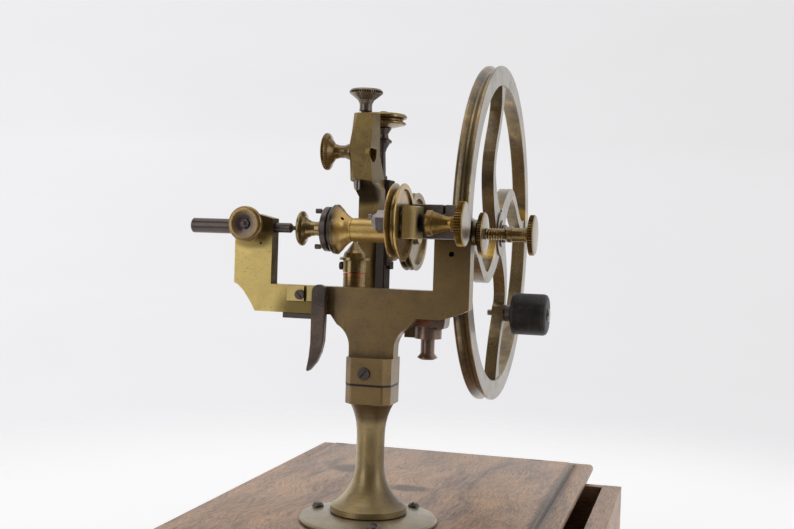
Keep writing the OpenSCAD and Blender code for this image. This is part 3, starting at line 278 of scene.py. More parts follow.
# Name, direction from the lathe, distance and size in metres, watts, colour
LAMPS = [
    ("left_window", (-0.58, -0.8, 0.22), 1.6, (0.85, 1.4), 6.4, "#FFFFFF"),
    ("right_window", (0.98, -0.2, 0.3), 1.4, (0.6, 0.9), 2.4, "#EEF4FF"),
    ("ceiling", (-0.1, -0.1, 1.0), 1.5, (1.2, 1.2), 3.2, "#FFFFFF"),
]
for name, direction, distance, size, watts, colour in LAMPS:
    light = bpy.data.lights.new(name, "AREA")
    light.shape = "RECTANGLE"
    light.size, light.size_y = size
    light.energy = watts
    light.color = linear(colour)[:3]
    lamp = new_object(name, light)
    lamp.location = AIM + Vector(direction).normalized() * distance
    lamp.rotation_mode = "QUATERNION"
    lamp.rotation_quaternion = (AIM - lamp.location).to_track_quat("-Z", "Y")
print("lamps", [lamp[0] for lamp in LAMPS])

# %% [markdown]
# Old metal is read in layers: the clean metal, the oxide that lies over it in clouds, grime
# and painted shade in the corners, and edges that hands keep bright. Tool marks lie over
# them all. On a flat piece they are straight file strokes, and on a turned one they are rings
# about its axis. A picture of scratches would need unwrapping on each piece. A noise
# stretched along the stroke, or wrapped about the axis, fits every piece without a seam. Real
# strokes are finer than this pitch, which is as coarse as they need to be to show.

# %% Tool marks
AXES = {"X": (1, 0, 0), "Y": (0, 1, 0), "Z": (0, 0, 1)}
MARK_PITCH = 0.35
FILE_STROKE = (0.05, 1, 1)


def tool_marks(tree, place, turned_on=None, centre=(0, 0, 0), pitch=MARK_PITCH):
    """The height of fine tool marks: rings about an axis, or file strokes along X."""
    if turned_on is None:
        drawn = add(tree, "ShaderNodeMapping", {"Scale": FILE_STROKE}, {"Vector": place})
        strokes = add(tree, "ShaderNodeTexNoise", {"Scale": per_mm(pitch), "Detail": 3.0},
                      {"Vector": drawn.outputs[0]})
        return strokes.outputs["Fac"]
    axis = Vector(AXES[turned_on])
    across = Vector((1, 1, 1)) - axis
    out = add(tree, "ShaderNodeVectorMath", {"operation": "SUBTRACT", 1: Vector(centre) * MM}, {0: place})
    along = add(tree, "ShaderNodeVectorMath", {"operation": "DOT_PRODUCT", 1: axis}, {0: out.outputs[0]})
    around = add(tree, "ShaderNodeVectorMath", {"operation": "MULTIPLY", 1: across}, {0: out.outputs[0]})
    radius = add(tree, "ShaderNodeVectorMath", {"operation": "LENGTH"}, {0: around.outputs[0]})
    ring = add(tree, "ShaderNodeCombineXYZ", {}, {"X": radius.outputs["Value"], "Y": along.outputs["Value"]})
    rings = add(tree, "ShaderNodeTexNoise",
                {"noise_dimensions": "2D", "Scale": per_mm(pitch), "Detail": 3.0},
                {"Vector": ring.outputs[0]})
    return rings.outputs["Fac"]


print("tool marks every", MARK_PITCH, "mm")

# %% [markdown]
# The oxide is thick in some clouds and thin in others, with fine spots along the border. Two
# noises of very different size, added up, give both. Where hands rub, the film goes: the
# bevel node tells where an edge is, because it rounds the normal there. Dust and old oil
# collect in corners, which ambient occlusion finds. The darkening it gives there is also
# painted shade: in corners, in knurl valleys and beside raised plates.

# %% Oxide, worn edges, and dirt and painted shade in corners
CLOUD, SPOT = 14.0, 0.9
SPOT_SHARE = 0.35
EDGE_REACH, EDGE_WEAR = 0.5, 0.7
CORNER_REACH, CORNER_SPOTS = 5.0, 0.5


def oxide_film(tree, place, film):
    """The thickness of the film, between its thinnest and thickest, and the clouds and spots it follows."""
    clouds = add(tree, "ShaderNodeTexNoise",
                 {"Scale": per_mm(CLOUD), "Detail": 9.0, "Roughness": 0.66, "Distortion": 0.3},
                 {"Vector": place}).outputs["Fac"]
    spots = add(tree, "ShaderNodeTexNoise", {"Scale": per_mm(SPOT), "Detail": 5.0, "Roughness": 0.75},
                {"Vector": place}).outputs["Fac"]
    mottled = add(tree, "ShaderNodeMath", {"operation": "MULTIPLY_ADD", 1: SPOT_SHARE}, {0: spots, 2: clouds})
    cloudy = add(tree, "ShaderNodeMapRange",
                 {"From Min": 0.5, "From Max": 0.88, "To Min": film[0], "To Max": film[1]},
                 {"Value": mottled.outputs[0]})
    return cloudy.outputs[0], clouds, spots


def kept_film(tree, normal):
    """How much of the film hands have left: all of it on a face, and less along an edge."""
    rounded = add(tree, "ShaderNodeBevel", {"samples": 4, "Radius": EDGE_REACH * MM})
    lean = add(tree, "ShaderNodeVectorMath", {"operation": "DOT_PRODUCT"}, {0: rounded.outputs[0], 1: normal})
    kept = add(tree, "ShaderNodeMapRange",
               {"From Min": 0.9, "From Max": 0.995, "To Min": 1 - EDGE_WEAR, "To Max": 1.0},
               {"Value": lean.outputs["Value"]})
    return kept.outputs[0]


def corner_dirt_and_shade(tree, spots):
    """A mask for dirt and painted shade in corners, with a spotty border."""
    corner = add(tree, "ShaderNodeAmbientOcclusion", {"samples": 6, "Distance": CORNER_REACH * MM})
    shaded = add(tree, "ShaderNodeMath", {"operation": "MULTIPLY_ADD", 1: -CORNER_SPOTS},
                 {0: spots, 2: corner.outputs["AO"]})
    dirt_and_shade = add(tree, "ShaderNodeMapRange", {"From Min": 0.5, "From Max": 0.05, "To Max": 0.92},
               {"Value": shaded.outputs[0]})
    return dirt_and_shade.outputs[0]


print("clouds of", CLOUD, "mm with spots of", SPOT, "mm")

# %% [markdown]
# Some places differ from the rest of their piece: a stain, a worn spot, or a whole side that
# no hand reaches. Vertex colours could hold them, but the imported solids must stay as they
# are, so two masks are worked out from place and direction. Each has a ragged border.

# %% Masks for a place and for a side
RAGGED = 0.8
PATCH_FULL, PATCH_GONE = 0.9, 1.5


def patch(tree, place, middle, radii, strength, ragged):
    """A mask that is strongest inside an ellipsoid, given in millimetres, and has a ragged border."""
    away = add(tree, "ShaderNodeVectorMath", {"operation": "SUBTRACT", 1: Vector(middle) * MM}, {0: place})
    scaled = add(tree, "ShaderNodeVectorMath", {"operation": "DIVIDE", 1: Vector(radii) * MM},
                 {0: away.outputs[0]})
    reach = add(tree, "ShaderNodeVectorMath", {"operation": "LENGTH"}, {0: scaled.outputs[0]})
    border = add(tree, "ShaderNodeMath", {"operation": "MULTIPLY_ADD", 1: RAGGED},
                 {0: ragged, 2: reach.outputs["Value"]})
    mask = add(tree, "ShaderNodeMapRange",
               {"interpolation_type": "SMOOTHSTEP", "From Min": PATCH_GONE, "From Max": PATCH_FULL,
                "To Max": strength}, {"Value": border.outputs[0]})
    return mask.outputs[0]


def right_hand(tree, normal, strength, clouds):
    """A mask for the faces that look to the right, weaker in some of the clouds."""
    looks = add(tree, "ShaderNodeVectorMath", {"operation": "DOT_PRODUCT", 1: AXES["X"]}, {0: normal})
    uneven = add(tree, "ShaderNodeMapRange",
                 {"From Min": 0.35, "From Max": 0.65, "To Min": strength, "To Max": 0.6 * strength},
                 {"Value": clouds})
    mask = add(tree, "ShaderNodeMapRange", {"From Min": 0.9, "From Max": 0.98},
               {"Value": looks.outputs["Value"], "To Max": uneven.outputs[0]})
    return mask.outputs[0]


print("a patch fades out at", PATCH_GONE, "times its size")

# %% [markdown]
# The layers now come together in one shader. Oxide, dirt and painted shade are not taken
# as metal, so the metallic value falls where they lie, and the roughness rises. A thin clear
# coat stands for the wax and the skin's oil that give old brass its second, softer shine.

# %% Metal that has aged
WAX, WAX_ROUGHNESS = 0.4, 0.2
GLOSS = 0.5
# How much of a metal is left under the thickest film
LEAST_METAL = 0.2
# How much rougher film, dirt and tool marks make it, and how deep pits are beside the marks
FILM_ROUGH, DIRT_ROUGH, MARK_ROUGH = 0.12, 0.25, 0.1
PIT_DEPTH = 0.5


def aged_metal(name, clean, oxide, grime_and_shade, roughness, film, patches=(), side=None, wax=WAX, gloss=GLOSS,
               **marks):
    """A bare metal under a film of oxide, with stains, dirt, painted light and shade, and tool marks.

    Patches are (middle, radii, colour, strength, matt): stains and wear, and also painted shadows,
    shade and highlights. Side is (colour, strength, matt) for the right-hand faces, which are painted
    near black, painted shade or a painted reflection. Wax is the weight of the clear coat, and gloss
    is the specular level of what isn't bare metal.
    """
    material, tree = new_material(name)
    place = add(tree, "ShaderNodeTexCoord").outputs["Object"]
    normal = add(tree, "ShaderNodeNewGeometry").outputs["Normal"]
    height = tool_marks(tree, place, **marks)
    thickness, clouds, spots = oxide_film(tree, place, film)
    pits = add(tree, "ShaderNodeMapRange", {"From Min": 0.6, "From Max": 0.72, "To Max": 0.7},
               {"Value": spots}).outputs[0]
    coat = add(tree, "ShaderNodeMath", {"operation": "MULTIPLY"},
               {0: thickness, 1: kept_film(tree, normal)}).outputs[0]
    filth_and_shade = add(tree, "ShaderNodeMath", {"operation": "MAXIMUM"},
                {0: pits, 1: corner_dirt_and_shade(tree, spots)}).outputs[0]
    colour = add(tree, "ShaderNodeMix", {"data_type": "RGBA", MIX_A: linear(clean), MIX_B: linear(oxide)},
                 {0: coat}).outputs[MIX_OUT]
    stains_and_shade = pits
    # Right-hand faces take a painted colour: near black, painted shade, or a painted reflection
    if side:
        side_colour, strength, matt_side = side
        mask = right_hand(tree, normal, strength, clouds)
        colour = add(tree, "ShaderNodeMix", {"data_type": "RGBA", MIX_B: linear(side_colour)},
                     {0: mask, MIX_A: colour}).outputs[MIX_OUT]
        if matt_side:
            stains_and_shade = mask
    # Patches hold stains and wear, and also painted shadows, painted shade and a painted highlight
    for middle, radii, patch_colour, strength, matt_patch in patches:
        mask = patch(tree, place, middle, radii, strength, clouds)
        colour = add(tree, "ShaderNodeMix", {"data_type": "RGBA", MIX_B: linear(patch_colour)},
                     {0: mask, MIX_A: colour}).outputs[MIX_OUT]
        if matt_patch:
            stains_and_shade = add(tree, "ShaderNodeMath", {"operation": "MAXIMUM"}, {0: stains_and_shade, 1: mask}).outputs[0]
    # Pits, and dirt with painted shade in the corners, take the grime colour
    dirty_and_shaded = add(tree, "ShaderNodeMix", {"data_type": "RGBA", MIX_B: linear(grime_and_shade)}, {0: filth_and_shade, MIX_A: colour})
    soiled_and_shaded = add(tree, "ShaderNodeMath", {"operation": "MAXIMUM"}, {0: filth_and_shade, 1: stains_and_shade})
    covered = add(tree, "ShaderNodeMath", {"operation": "MAXIMUM"}, {0: coat, 1: soiled_and_shaded.outputs[0]})
    bare = add(tree, "ShaderNodeMapRange", {"To Min": 1.0, "To Max": LEAST_METAL},
               {"Value": covered.outputs[0]})
    dull = add(tree, "ShaderNodeMath", {"operation": "MULTIPLY_ADD", 1: FILM_ROUGH, 2: roughness}, {0: coat})
    matt = add(tree, "ShaderNodeMath", {"operation": "MULTIPLY_ADD", 1: DIRT_ROUGH},
               {0: soiled_and_shaded.outputs[0], 2: dull.outputs[0]})
    scored = add(tree, "ShaderNodeMath", {"operation": "MULTIPLY_ADD", 1: MARK_ROUGH},
                 {0: height, 2: matt.outputs[0]})
    relief = add(tree, "ShaderNodeMath", {"operation": "MULTIPLY_ADD", 1: -PIT_DEPTH}, {0: pits, 2: height})
    bump = add(tree, "ShaderNodeBump", {"Strength": 0.3, "Distance": 0.04 * MM},
               {"Height": relief.outputs[0]})
    skin = add(tree, "ShaderNodeBsdfPrincipled",
               {"Coat Weight": wax, "Coat Roughness": WAX_ROUGHNESS, "Specular IOR Level": gloss},
               {"Base Color": dirty_and_shaded.outputs[MIX_OUT], "Metallic": bare.outputs[0],
                "Roughness": scored.outputs[0], "Normal": bump.outputs[0]})
    add(tree, "ShaderNodeOutputMaterial", {}, {"Surface": skin.outputs[0]})
    return material


print("a film takes the metal down to", LEAST_METAL)

# %% [markdown]
# Each metal is named for what it is and how its surface was made, and starts from that
# metal's usual colour and roughness. The oxide colour is what a century adds: olive and
# brown on brass, purple brown on steel, rust on iron.

# %% The metal finishes
# Clean metal, oxide, grime and painted shade in corners, roughness, thinnest and thickest film
FINISHES = {
    # Filed flat and rubbed by hands: warm gold under a thin olive film
    "cast brass, filed": ("#DDC47C", "#AA9360", "#2C2214", 0.26, (0.1, 0.5)),
    # Once lacquered: gold with orange browns in its hollows
    "brass, turned and lacquered": ("#C9A45A", "#7E6234", "#20170C", 0.14, (0.15, 0.75)),
    # Greased by fingers for a century
    "brass, turned and greasy": ("#B5914F", "#5F4A2A", "#150F09", 0.18, (0.25, 0.9)),
    # The same with its zinc gone: grey as pewter
    "brass, turned and greyed": ("#9D8C76", "#544A40", "#1A1511", 0.2, (0.3, 0.9)),
    # Left alone: olive brown, with the sheen of old wax
    "cast brass, browned": ("#AB8C57", "#635139", "#20180E", 0.25, (0.35, 0.85)),
    # A wheel that was held now here and now there: bright and dark in large clouds
    "cast brass, mottled": ("#A48B60", "#3E3626", "#1C150C", 0.24, (0.1, 1.0)),
    # The plain castings: an even dull gold
    "cast brass, tarnished": ("#B4975C", "#675940", "#241B10", 0.24, (0.25, 0.85)),
    # A century of polish: soft reflections, no mirror
    "turned brass, waxed": ("#B39A66", "#6A5C42", "#20180E", 0.38, (0.2, 0.7)),
    # A small block, scraped and left bright
    "cast brass, scraped": ("#EBD395", "#C6AC74", "#4A3A20", 0.4, (0.0, 0.35)),
    # Wiped each day at work, and gold for it
    "turned brass, rubbed": ("#DDB76A", "#937646", "#241A0E", 0.32, (0.1, 0.6)),
    # Burnished once: it still mirrors the window
    "turned brass, burnished": ("#AE935C", "#65563A", "#20180E", 0.15, (0.2, 0.7)),
    # A rough casting, oxidised to a stony grey
    "cast brass, greyed": ("#B29C73", "#7C7361", "#2A2218", 0.32, (0.3, 1.0)),
    # Once polished: grey with brown spots
    "tool steel, polished": ("#A39A96", "#5E524D", "#221C1A", 0.24, (0.15, 0.7)),
    # Browned by heat and oil: a purple brown, almost matt
    "tool steel, browned": ("#6E605B", "#3D332F", "#141010", 0.28, (0.3, 0.9)),
    # Bare iron with a brown crust and grey showing through
    "wrought iron, rusted": ("#A08574", "#4E3A2E", "#1A120D", 0.24, (0.15, 0.95)),
    # The same, but oiled, so that the crust is dark
    "wrought iron, browned": ("#7E6A5E", "#33271F", "#15100C", 0.22, (0.15, 1.0)),
    # A washer: orange brown
    "sheet copper, cut": ("#C07B4C", "#85502E", "#3A2218", 0.26, (0.1, 0.7)),
}
SLOT_FINISH = {
    "brass": "brass, turned and lacquered",
    "aged_brass": "cast brass, tarnished",
    "steel": "tool steel, polished",
    "dark_steel": "tool steel, browned",
    "rusty_steel": "wrought iron, rusted",
    "copper": "sheet copper, cut",
}
# Pieces that differ from the rest of their kind
NODE_FINISH = {
    "cast brass, filed": ("left_arm", "arm_clamp_plates"),
    "cast brass, browned": ("frame_plate", "pillar_collar", "frame_socket"),
    "cast brass, greyed": ("base_flange",),
    "cast brass, scraped": ("bearing_block",),
    "cast brass, mottled": ("hand_wheel",),
    "turned brass, waxed": ("pillar",),
    "turned brass, rubbed": ("spindle_bell", "main_spindle"),
    "turned brass, burnished": ("mushroom_nut", "post_centre"),
    "brass, turned and greasy": ("idler_knob", "lock_nut", "centre_screw", "post_base", "side_knob",
                                 "runner_knob", "grooved_disc"),
    "brass, turned and greyed": ("top_knob",),
    "tool steel, browned": ("cutter_ring", "socket_screws", "flange_screws", "arm_clamp_screw"),
    "wrought iron, browned": ("hook_lever",),
}
print(len(FINISHES), "metal finishes")

# %% [markdown]
# The right-hand faces differ from the fronts. On the left arm and the rear column they are
# painted near black, on the rear standard they are painted shade, and on the wheel and the
# knobs they are painted a pale grey, a painted reflection of the white room at the right.
# Then come the single marks: painted shadows under the runner knob, beside the gib and under
# the rear head, painted shade and a painted highlight on the pillar, the idler knob's neck
# painted near black as shade, a darker place on the left arm's top, a dark thread on the
# centre screw, bright places where the wheel is held, red rust under the lug, and the dark
# line where the collar meets its socket.

# %% Painted sides, painted shade and stains
# Near black for right-hand faces painted dark, and a pale grey painted as a reflection of the white room
NEAR_BLACK, PAINTED_REFLECTION = "#17120C", "#8B857A"
# Colour, strength, matt
NODE_SIDE = {
    # The left arm's right-hand face is painted near black
    "left_arm": (NEAR_BLACK, 1.0, True),
    # The rear standard's right-hand face is painted shade
    "rear_standard": ("#4A4438", 0.5, False),
    # The rear column's right-hand face is painted near black
    "rear_column": (NEAR_BLACK, 0.9, True),
    # The wheel's and the knobs' right-hand faces are painted a pale grey, a painted reflection of the white
    # room
    "hand_wheel": (PAINTED_REFLECTION, 0.85, False),
    "idler_knob": ("#A69F92", 0.95, False),
    "lock_nut": (PAINTED_REFLECTION, 0.7, False),
    "centre_screw": (PAINTED_REFLECTION, 0.6, False),
}
# Pieces that nobody waxed: their clear coat and their specular level
UNWAXED = {"left_arm", "rear_standard", "rear_column", "idler_knob"}
DRY_WAX, DRY_GLOSS = 0.02, 0.1

knob_middle = middle_mm("runner_knob")
# The neck of the idler's knob, painted near black as painted shade beside the bearing block, lies this far
# behind its face
NECK_BACK = 19.4
idler_neck = box_mm("idler_knob")[1].x - NECK_BACK
bell_back = box_mm("spindle_bell")[0].x
collar_top = box_mm("frame_socket")[0].z
seam = ((0, 0, collar_top), (40, 40, 0.7), "#120D08", 0.95, True)
# Middle, radii, colour, strength, matt
NODE_PATCHES = {
    "frame_socket": [seam],
    "pillar_collar": [seam],
    # A painted shadow under the runner knob
    "left_arm": [((-59, -4, 188), (11, 4, 4), "#4A3A20", 0.6, False),
                 # Painted shade beside the gib
                 ((-33, -4, 157), (15, 4, 13), "#564528", 0.75, False),
                 # A darker place on the arm's top
                 ((-51, -4, 198), (10, 9, 9), "#4E402A", 0.85, False)],
    # The idler knob's neck, painted near black as painted shade
    "idler_knob": [((idler_neck, -36, 198), (3.4, 20, 20), "#0E0C0A", 1.0, True)],
    # Painted shade down the right-hand face below the rear head
    "rear_standard": [((-9, 38, 180), (4, 22, 30), "#221A10", 0.95, True),
                      # A painted shadow of the rear head on the slope beneath it
                      ((-17, 29, 213), (22, 10, 7), "#2A2116", 0.9, True)],
    "runner_knob": [(knob_middle, (6.5, 30, 6.5), "#5C4F52", 0.9, False)],
    "spindle_bell": [((bell_back, 0, spindle.z), (5.5, 40, 40), "#262220", 0.95, False)],
    "under_lug": [((21, 0, 154), (8, 10, 2.6), "#A4623A", 0.85, False)],
    "centre_screw": [((64, -36, 198), (12, 3, 3), "#30261A", 1.0, True)],
    "hand_wheel": [((25.7, 142, 186.6), (7, 8, 8), "#D0A74A", 0.9, False),
                   ((25.8, 245, 209), (7, 8, 6), "#D0A74A", 0.9, False)],
    # Painted shade on the pillar's right side
    "pillar": [((13, -2, 90), (9, 14, 32), "#4E3C20", 0.9, False),
               # A painted highlight down the pillar's left side
               ((-10, -5, 92), (7, 10, 30), "#E0D0A4", 0.55, False),
               # Painted shade under the collar
               ((0, 0, 113), (30, 30, 6), "#4C3A1E", 0.75, False)],
}
print(sum(len(patches) for patches in NODE_PATCHES.values()), "stains")

# %% [markdown]
# The box is walnut under old wax. Its grain is a stack of stretched noises: broad bands for
# the year rings, long fibres, and short dark pores. The bands bend with a slow noise, which
# gives the wild figure of a board cut near a fork of the trunk. A picture of wood would look
# the same on each board, but the noise is solid, so each board has its own grain, end grain
# too. The pores are drawn a little coarser than real ones, so that they show.

# %% The grain of walnut
BEND_WIDTH, BEND = 60, 22
BAND_WIDTH, CLOUD_WIDTH = 16, 50
FIBRE_WIDTH, PORE_WIDTH = 0.9, 0.5
BAND_SQUEEZE, FIBRE_SQUEEZE = 0.2, 0.05
FIBRE_SHARE, CLOUD_SHARE = 1.0, 0.5


def walnut_grain(tree, place, along):
    """The shade of the figure, the dark pores, the fibres and the clouds of wax."""
    squeeze = [BAND_SQUEEZE if axis == along else 1.0 for axis in "XYZ"]
    fibre = [FIBRE_SQUEEZE if axis == along else 1.0 for axis in "XYZ"]
    bent = add(tree, "ShaderNodeTexNoise", {"Scale": per_mm(BEND_WIDTH), "Detail": 2.0}, {"Vector": place})
    sway = add(tree, "ShaderNodeVectorMath", {"operation": "SCALE", "Scale": BEND * MM},
               {0: bent.outputs["Color"]})
    swayed = add(tree, "ShaderNodeVectorMath", {"operation": "ADD"}, {0: place, 1: sway.outputs[0]})
    rings = add(tree, "ShaderNodeMapping", {"Scale": squeeze}, {"Vector": swayed.outputs[0]})
    bands = add(tree, "ShaderNodeTexNoise",
                {"Scale": per_mm(BAND_WIDTH), "Detail": 6.0, "Roughness": 0.6, "Distortion": 0.3},
                {"Vector": rings.outputs[0]})
    drawn = add(tree, "ShaderNodeMapping", {"Scale": fibre}, {"Vector": swayed.outputs[0]})
    fibres = add(tree, "ShaderNodeTexNoise", {"Scale": per_mm(FIBRE_WIDTH), "Detail": 5.0, "Roughness": 0.7},
                 {"Vector": drawn.outputs[0]}).outputs["Fac"]
    pores = add(tree, "ShaderNodeTexNoise", {"Scale": per_mm(PORE_WIDTH), "Detail": 1.0},
                {"Vector": drawn.outputs[0]})
    clouds = add(tree, "ShaderNodeTexNoise", {"Scale": per_mm(CLOUD_WIDTH), "Detail": 5.0, "Roughness": 0.6},
                 {"Vector": place}).outputs["Fac"]
    figure = add(tree, "ShaderNodeMath", {"operation": "MULTIPLY_ADD", 1: FIBRE_SHARE},
                 {0: fibres, 2: bands.outputs["Fac"]})
    shade = add(tree, "ShaderNodeMath", {"operation": "MULTIPLY_ADD", 1: CLOUD_SHARE},
                {0: clouds, 2: figure.outputs[0]})
    level = add(tree, "ShaderNodeMapRange", {"From Min": 0.95, "From Max": 1.55}, {"Value": shade.outputs[0]})
    dots = add(tree, "ShaderNodeMapRange", {"From Min": 0.56, "From Max": 0.68, "To Max": 0.65},
               {"Value": pores.outputs["Fac"]})
    return level.outputs[0], dots.outputs[0], fibres, clouds


print("year rings about", BAND_WIDTH, "mm apart")

# %% [markdown]
# The planed boards are bleached and waxed, and their corners are darker, partly with dirt and
# partly with painted shade. Inside the box the wood was only sawn and never saw the sun, so it
# is darker and redder. Old knots and filled screw holes are stains on the top board, placed
# where they are on the real one, and a painted shadow runs along the groove at its right.

# %% Walnut boards
WALNUT = ("#D6AA82", "#AA866A", "#5A473A")
SAWN_WALNUT = ("#9A6238", "#6B4223", "#2C1A0D")
STAIN_AND_SHADE, WOOD_DIRT_AND_SHADE = "#33271F", "#33281F"
WOOD_CORNER_REACH = 4
WOOD_WAX, WOOD_WAX_ROUGHNESS = 0.25, 0.35


def walnut(name, light, middle, dark, along, stains=()):
    """Walnut with its grain along one axis. Stains, real ones and painted shadows, are (middle, radii,
    strength) in millimetres.
    """
    material, tree = new_material(name)
    place = add(tree, "ShaderNodeTexCoord").outputs["Object"]
    level, dots, fibres, clouds = walnut_grain(tree, place, along)
    wood = add(tree, "ShaderNodeValToRGB", {"stops": [(0.0, dark), (0.45, middle), (1.0, light)]},
               {"Fac": level})
    colour = add(tree, "ShaderNodeMix", {"data_type": "RGBA", MIX_B: linear(dark)},
                 {0: dots, MIX_A: wood.outputs["Color"]}).outputs[MIX_OUT]
    for spot, radii, strength in stains:
        mask = patch(tree, place, spot, radii, strength, fibres)
        colour = add(tree, "ShaderNodeMix", {"data_type": "RGBA", MIX_B: linear(STAIN_AND_SHADE)},
                     {0: mask, MIX_A: colour}).outputs[MIX_OUT]
    # Dirt and painted shade darken the corners that ambient occlusion finds
    corner = add(tree, "ShaderNodeAmbientOcclusion", {"samples": 6, "Distance": WOOD_CORNER_REACH * MM})
    dirt_and_shade = add(tree, "ShaderNodeMapRange", {"From Min": 0.85, "From Max": 0.4, "To Max": 0.8},
               {"Value": corner.outputs["AO"]})
    grimy_and_shaded = add(tree, "ShaderNodeMix", {"data_type": "RGBA", MIX_B: linear(WOOD_DIRT_AND_SHADE)},
                {0: dirt_and_shade.outputs[0], MIX_A: colour})
    rub = add(tree, "ShaderNodeMapRange", {"To Min": 0.34, "To Max": 0.6}, {"Value": clouds})
    relief = add(tree, "ShaderNodeMath", {"operation": "MULTIPLY_ADD", 1: -1.0}, {0: dots, 2: fibres})
    bump = add(tree, "ShaderNodeBump", {"Strength": 0.4, "Distance": 0.08 * MM},
               {"Height": relief.outputs[0]})
    skin = add(tree, "ShaderNodeBsdfPrincipled",
               {"Coat Weight": WOOD_WAX, "Coat Roughness": WOOD_WAX_ROUGHNESS},
               {"Base Color": grimy_and_shaded.outputs[MIX_OUT], "Roughness": rub.outputs[0], "Normal": bump.outputs[0]})
    add(tree, "ShaderNodeOutputMaterial", {}, {"Surface": skin.outputs[0]})
    return material


TOP_STAINS_AND_SHADE = [
    ((-43, 106, 62), (13, 13, 4), 0.75),
    ((0, 71, 62), (13, 9, 4), 0.75),
    ((-71, 174, 62), (5, 3, 4), 0.9),
    ((52, 174, 62), (5, 3, 4), 0.9),
    # A painted shadow along the groove at the right of the top board
    ((73, 80, 61), (4.5, 150, 4), 0.7),
]
walnut_top = walnut("walnut, planed and waxed", *WALNUT, "Y", TOP_STAINS_AND_SHADE)
walnut_x = walnut("walnut, planed, grain along X", *WALNUT, "X")
walnut_y = walnut("walnut, planed, grain along Y", *WALNUT, "Y")
walnut_inside = walnut("walnut, sawn, unwaxed", *SAWN_WALNUT, "X")
print("walnut boards with", len(TOP_STAINS_AND_SHADE), "stains on the top")

# %% [markdown]
# The solids have sharp edges, as a drawing has. A real maker breaks every edge with a file.
# Modifiers do that without touching the solid's mesh: a weld joins its triangles, a
# dissolving decimate turns flat fans of them back into one face, the bevel then finds whole
# edges, and weighted normals keep the large faces flat right up to the rounding.

# %% Break the edges
WELD_REACH = 0.004
FLAT_WITHIN = math.radians(0.6)
SHARP_BEYOND = math.radians(32)
BEVEL_STEPS = 2
# The width of each broken edge, in millimetres
EDGE = {
    "frame_plate": 0.45, "left_arm": 0.45, "pillar_collar": 0.5, "frame_socket": 0.5, "idler_bracket": 0.5,
    "bearing_block": 0.5, "rear_standard": 0.5, "rear_column": 0.5, "rear_bed": 0.5, "wheel_arm": 0.7,
    "under_lug": 0.5, "hook_lever": 0.6, "arm_gib": 0.3, "arm_clamp_plates": 0.25, "hand_wheel": 0.7,
    "box_near_wall": 0.8, "box_far_wall": 0.8, "box_left_wall": 0.5, "box_bottom": 0.4, "drawer_front": 0.9,
    "drawer_near_side": 0.5, "drawer_far_side": 0.5, "drawer_back": 0.4, "drawer_floor": 0.3,
}
for node, width in EDGE.items():
    modifiers = nodes[node].modifiers
    weld = modifiers.new("weld", "WELD")
    weld.merge_threshold = WELD_REACH * MM
    flatten = modifiers.new("whole faces", "DECIMATE")
    flatten.decimate_type = "DISSOLVE"
    flatten.angle_limit = FLAT_WITHIN
    bevel = modifiers.new("broken edges", "BEVEL")
    bevel.width = width * MM
    bevel.segments = BEVEL_STEPS
    bevel.limit_method = "ANGLE"
    bevel.angle_limit = SHARP_BEYOND
    weighted = modifiers.new("flat faces", "WEIGHTED_NORMAL")
    weighted.keep_sharp = True
print("edges broken on", len(EDGE), "nodes")

# %% [markdown]
# Each solid gets the finish of its slot in the record. A turned piece has its own copy,
# because its rings run about its own axis, which is the middle of its box, and so has a
# piece with stains. The turning tool leaves a piece a little smoother than the file does.

# %% Finish the metal
TURNED = {
    "X": ("main_spindle", "mushroom_nut", "cutter_ring", "spindle_bell", "drive_pulley", "left_runner",
          "idler_shaft", "idler_pulley", "wheel_axle", "handle_pin", "drawer_knob", "hand_wheel",
          "centre_screw", "lock_nut", "idler_knob", "side_knob"),
    "Y": ("runner_knob", "runner_knob_stud"),
    "Z": ("base_flange", "pillar", "post_base", "post_washer", "post_centre", "top_knob", "rear_spindle",
          "grooved_disc", "under_stud", "head_pin"),
}
TURNED_GLOSS = 0.8


def by_node(groups):
    """Turns a table of groups of nodes into one entry for each node."""
    return {node: key for key, group in groups.items() for node in group}


axis_of = by_node(TURNED)
own_finish = by_node(NODE_FINISH)
slots = {part["node"]: part["material_slot"] for part in frame["record"]["subparts"]}
finish_of = {}
made = {}
for node, slot in slots.items():
    finish = own_finish.get(node, SLOT_FINISH.get(slot))
    if not finish:
        continue
    clean, oxide, grime_and_shade, roughness, film = FINISHES[finish]
    own = {"side": NODE_SIDE.get(node), "patches": NODE_PATCHES.get(node, ())}
    title = finish
    if own["side"] or own["patches"] or node in axis_of:
        title = finish + ", " + node.replace("_", " ")
    if node in UNWAXED:
        own.update(wax=DRY_WAX, gloss=DRY_GLOSS)
    if node in axis_of:
        own.update(turned_on=axis_of[node], centre=middle_mm(node))
        roughness *= TURNED_GLOSS
    if title not in made:
        made[title] = aged_metal(title, clean, oxide, grime_and_shade, roughness, film, **own)
    finish_of[node] = made[title]
print("metal on", len(finish_of), "solids, in", len(made), "materials")

# %% [markdown]
# The boards' grain runs along their length, as a joiner cuts them. Then every solid gets its
# one material in place of the plain one that it was packed with.

# %% Finish the boards
BOARDS = {
    walnut_inside: ("box_bottom", "drawer_near_side", "drawer_floor", "drawer_back"),
    # The drawer's far side takes the lighter planed walnut, as painted light on a board that stands in shade
    walnut_x: ("box_near_wall", "box_far_wall", "drawer_far_side"),
    walnut_y: ("box_left_wall", "drawer_front"),
}
finish_of.update(by_node(BOARDS))
for node, material in finish_of.items():
    nodes[node].data.materials.clear()
    nodes[node].data.materials.append(material)
print("finished", len(finish_of), "solids")

# %% [markdown]
# The top board has a moulding: a rounded lip, a shallow step and a raised field. It could
# be cut with a bevel, but the profile has a shape of its own, so it is laid out as a list of
# places from the edge inwards, and each place becomes one rectangle round the board.

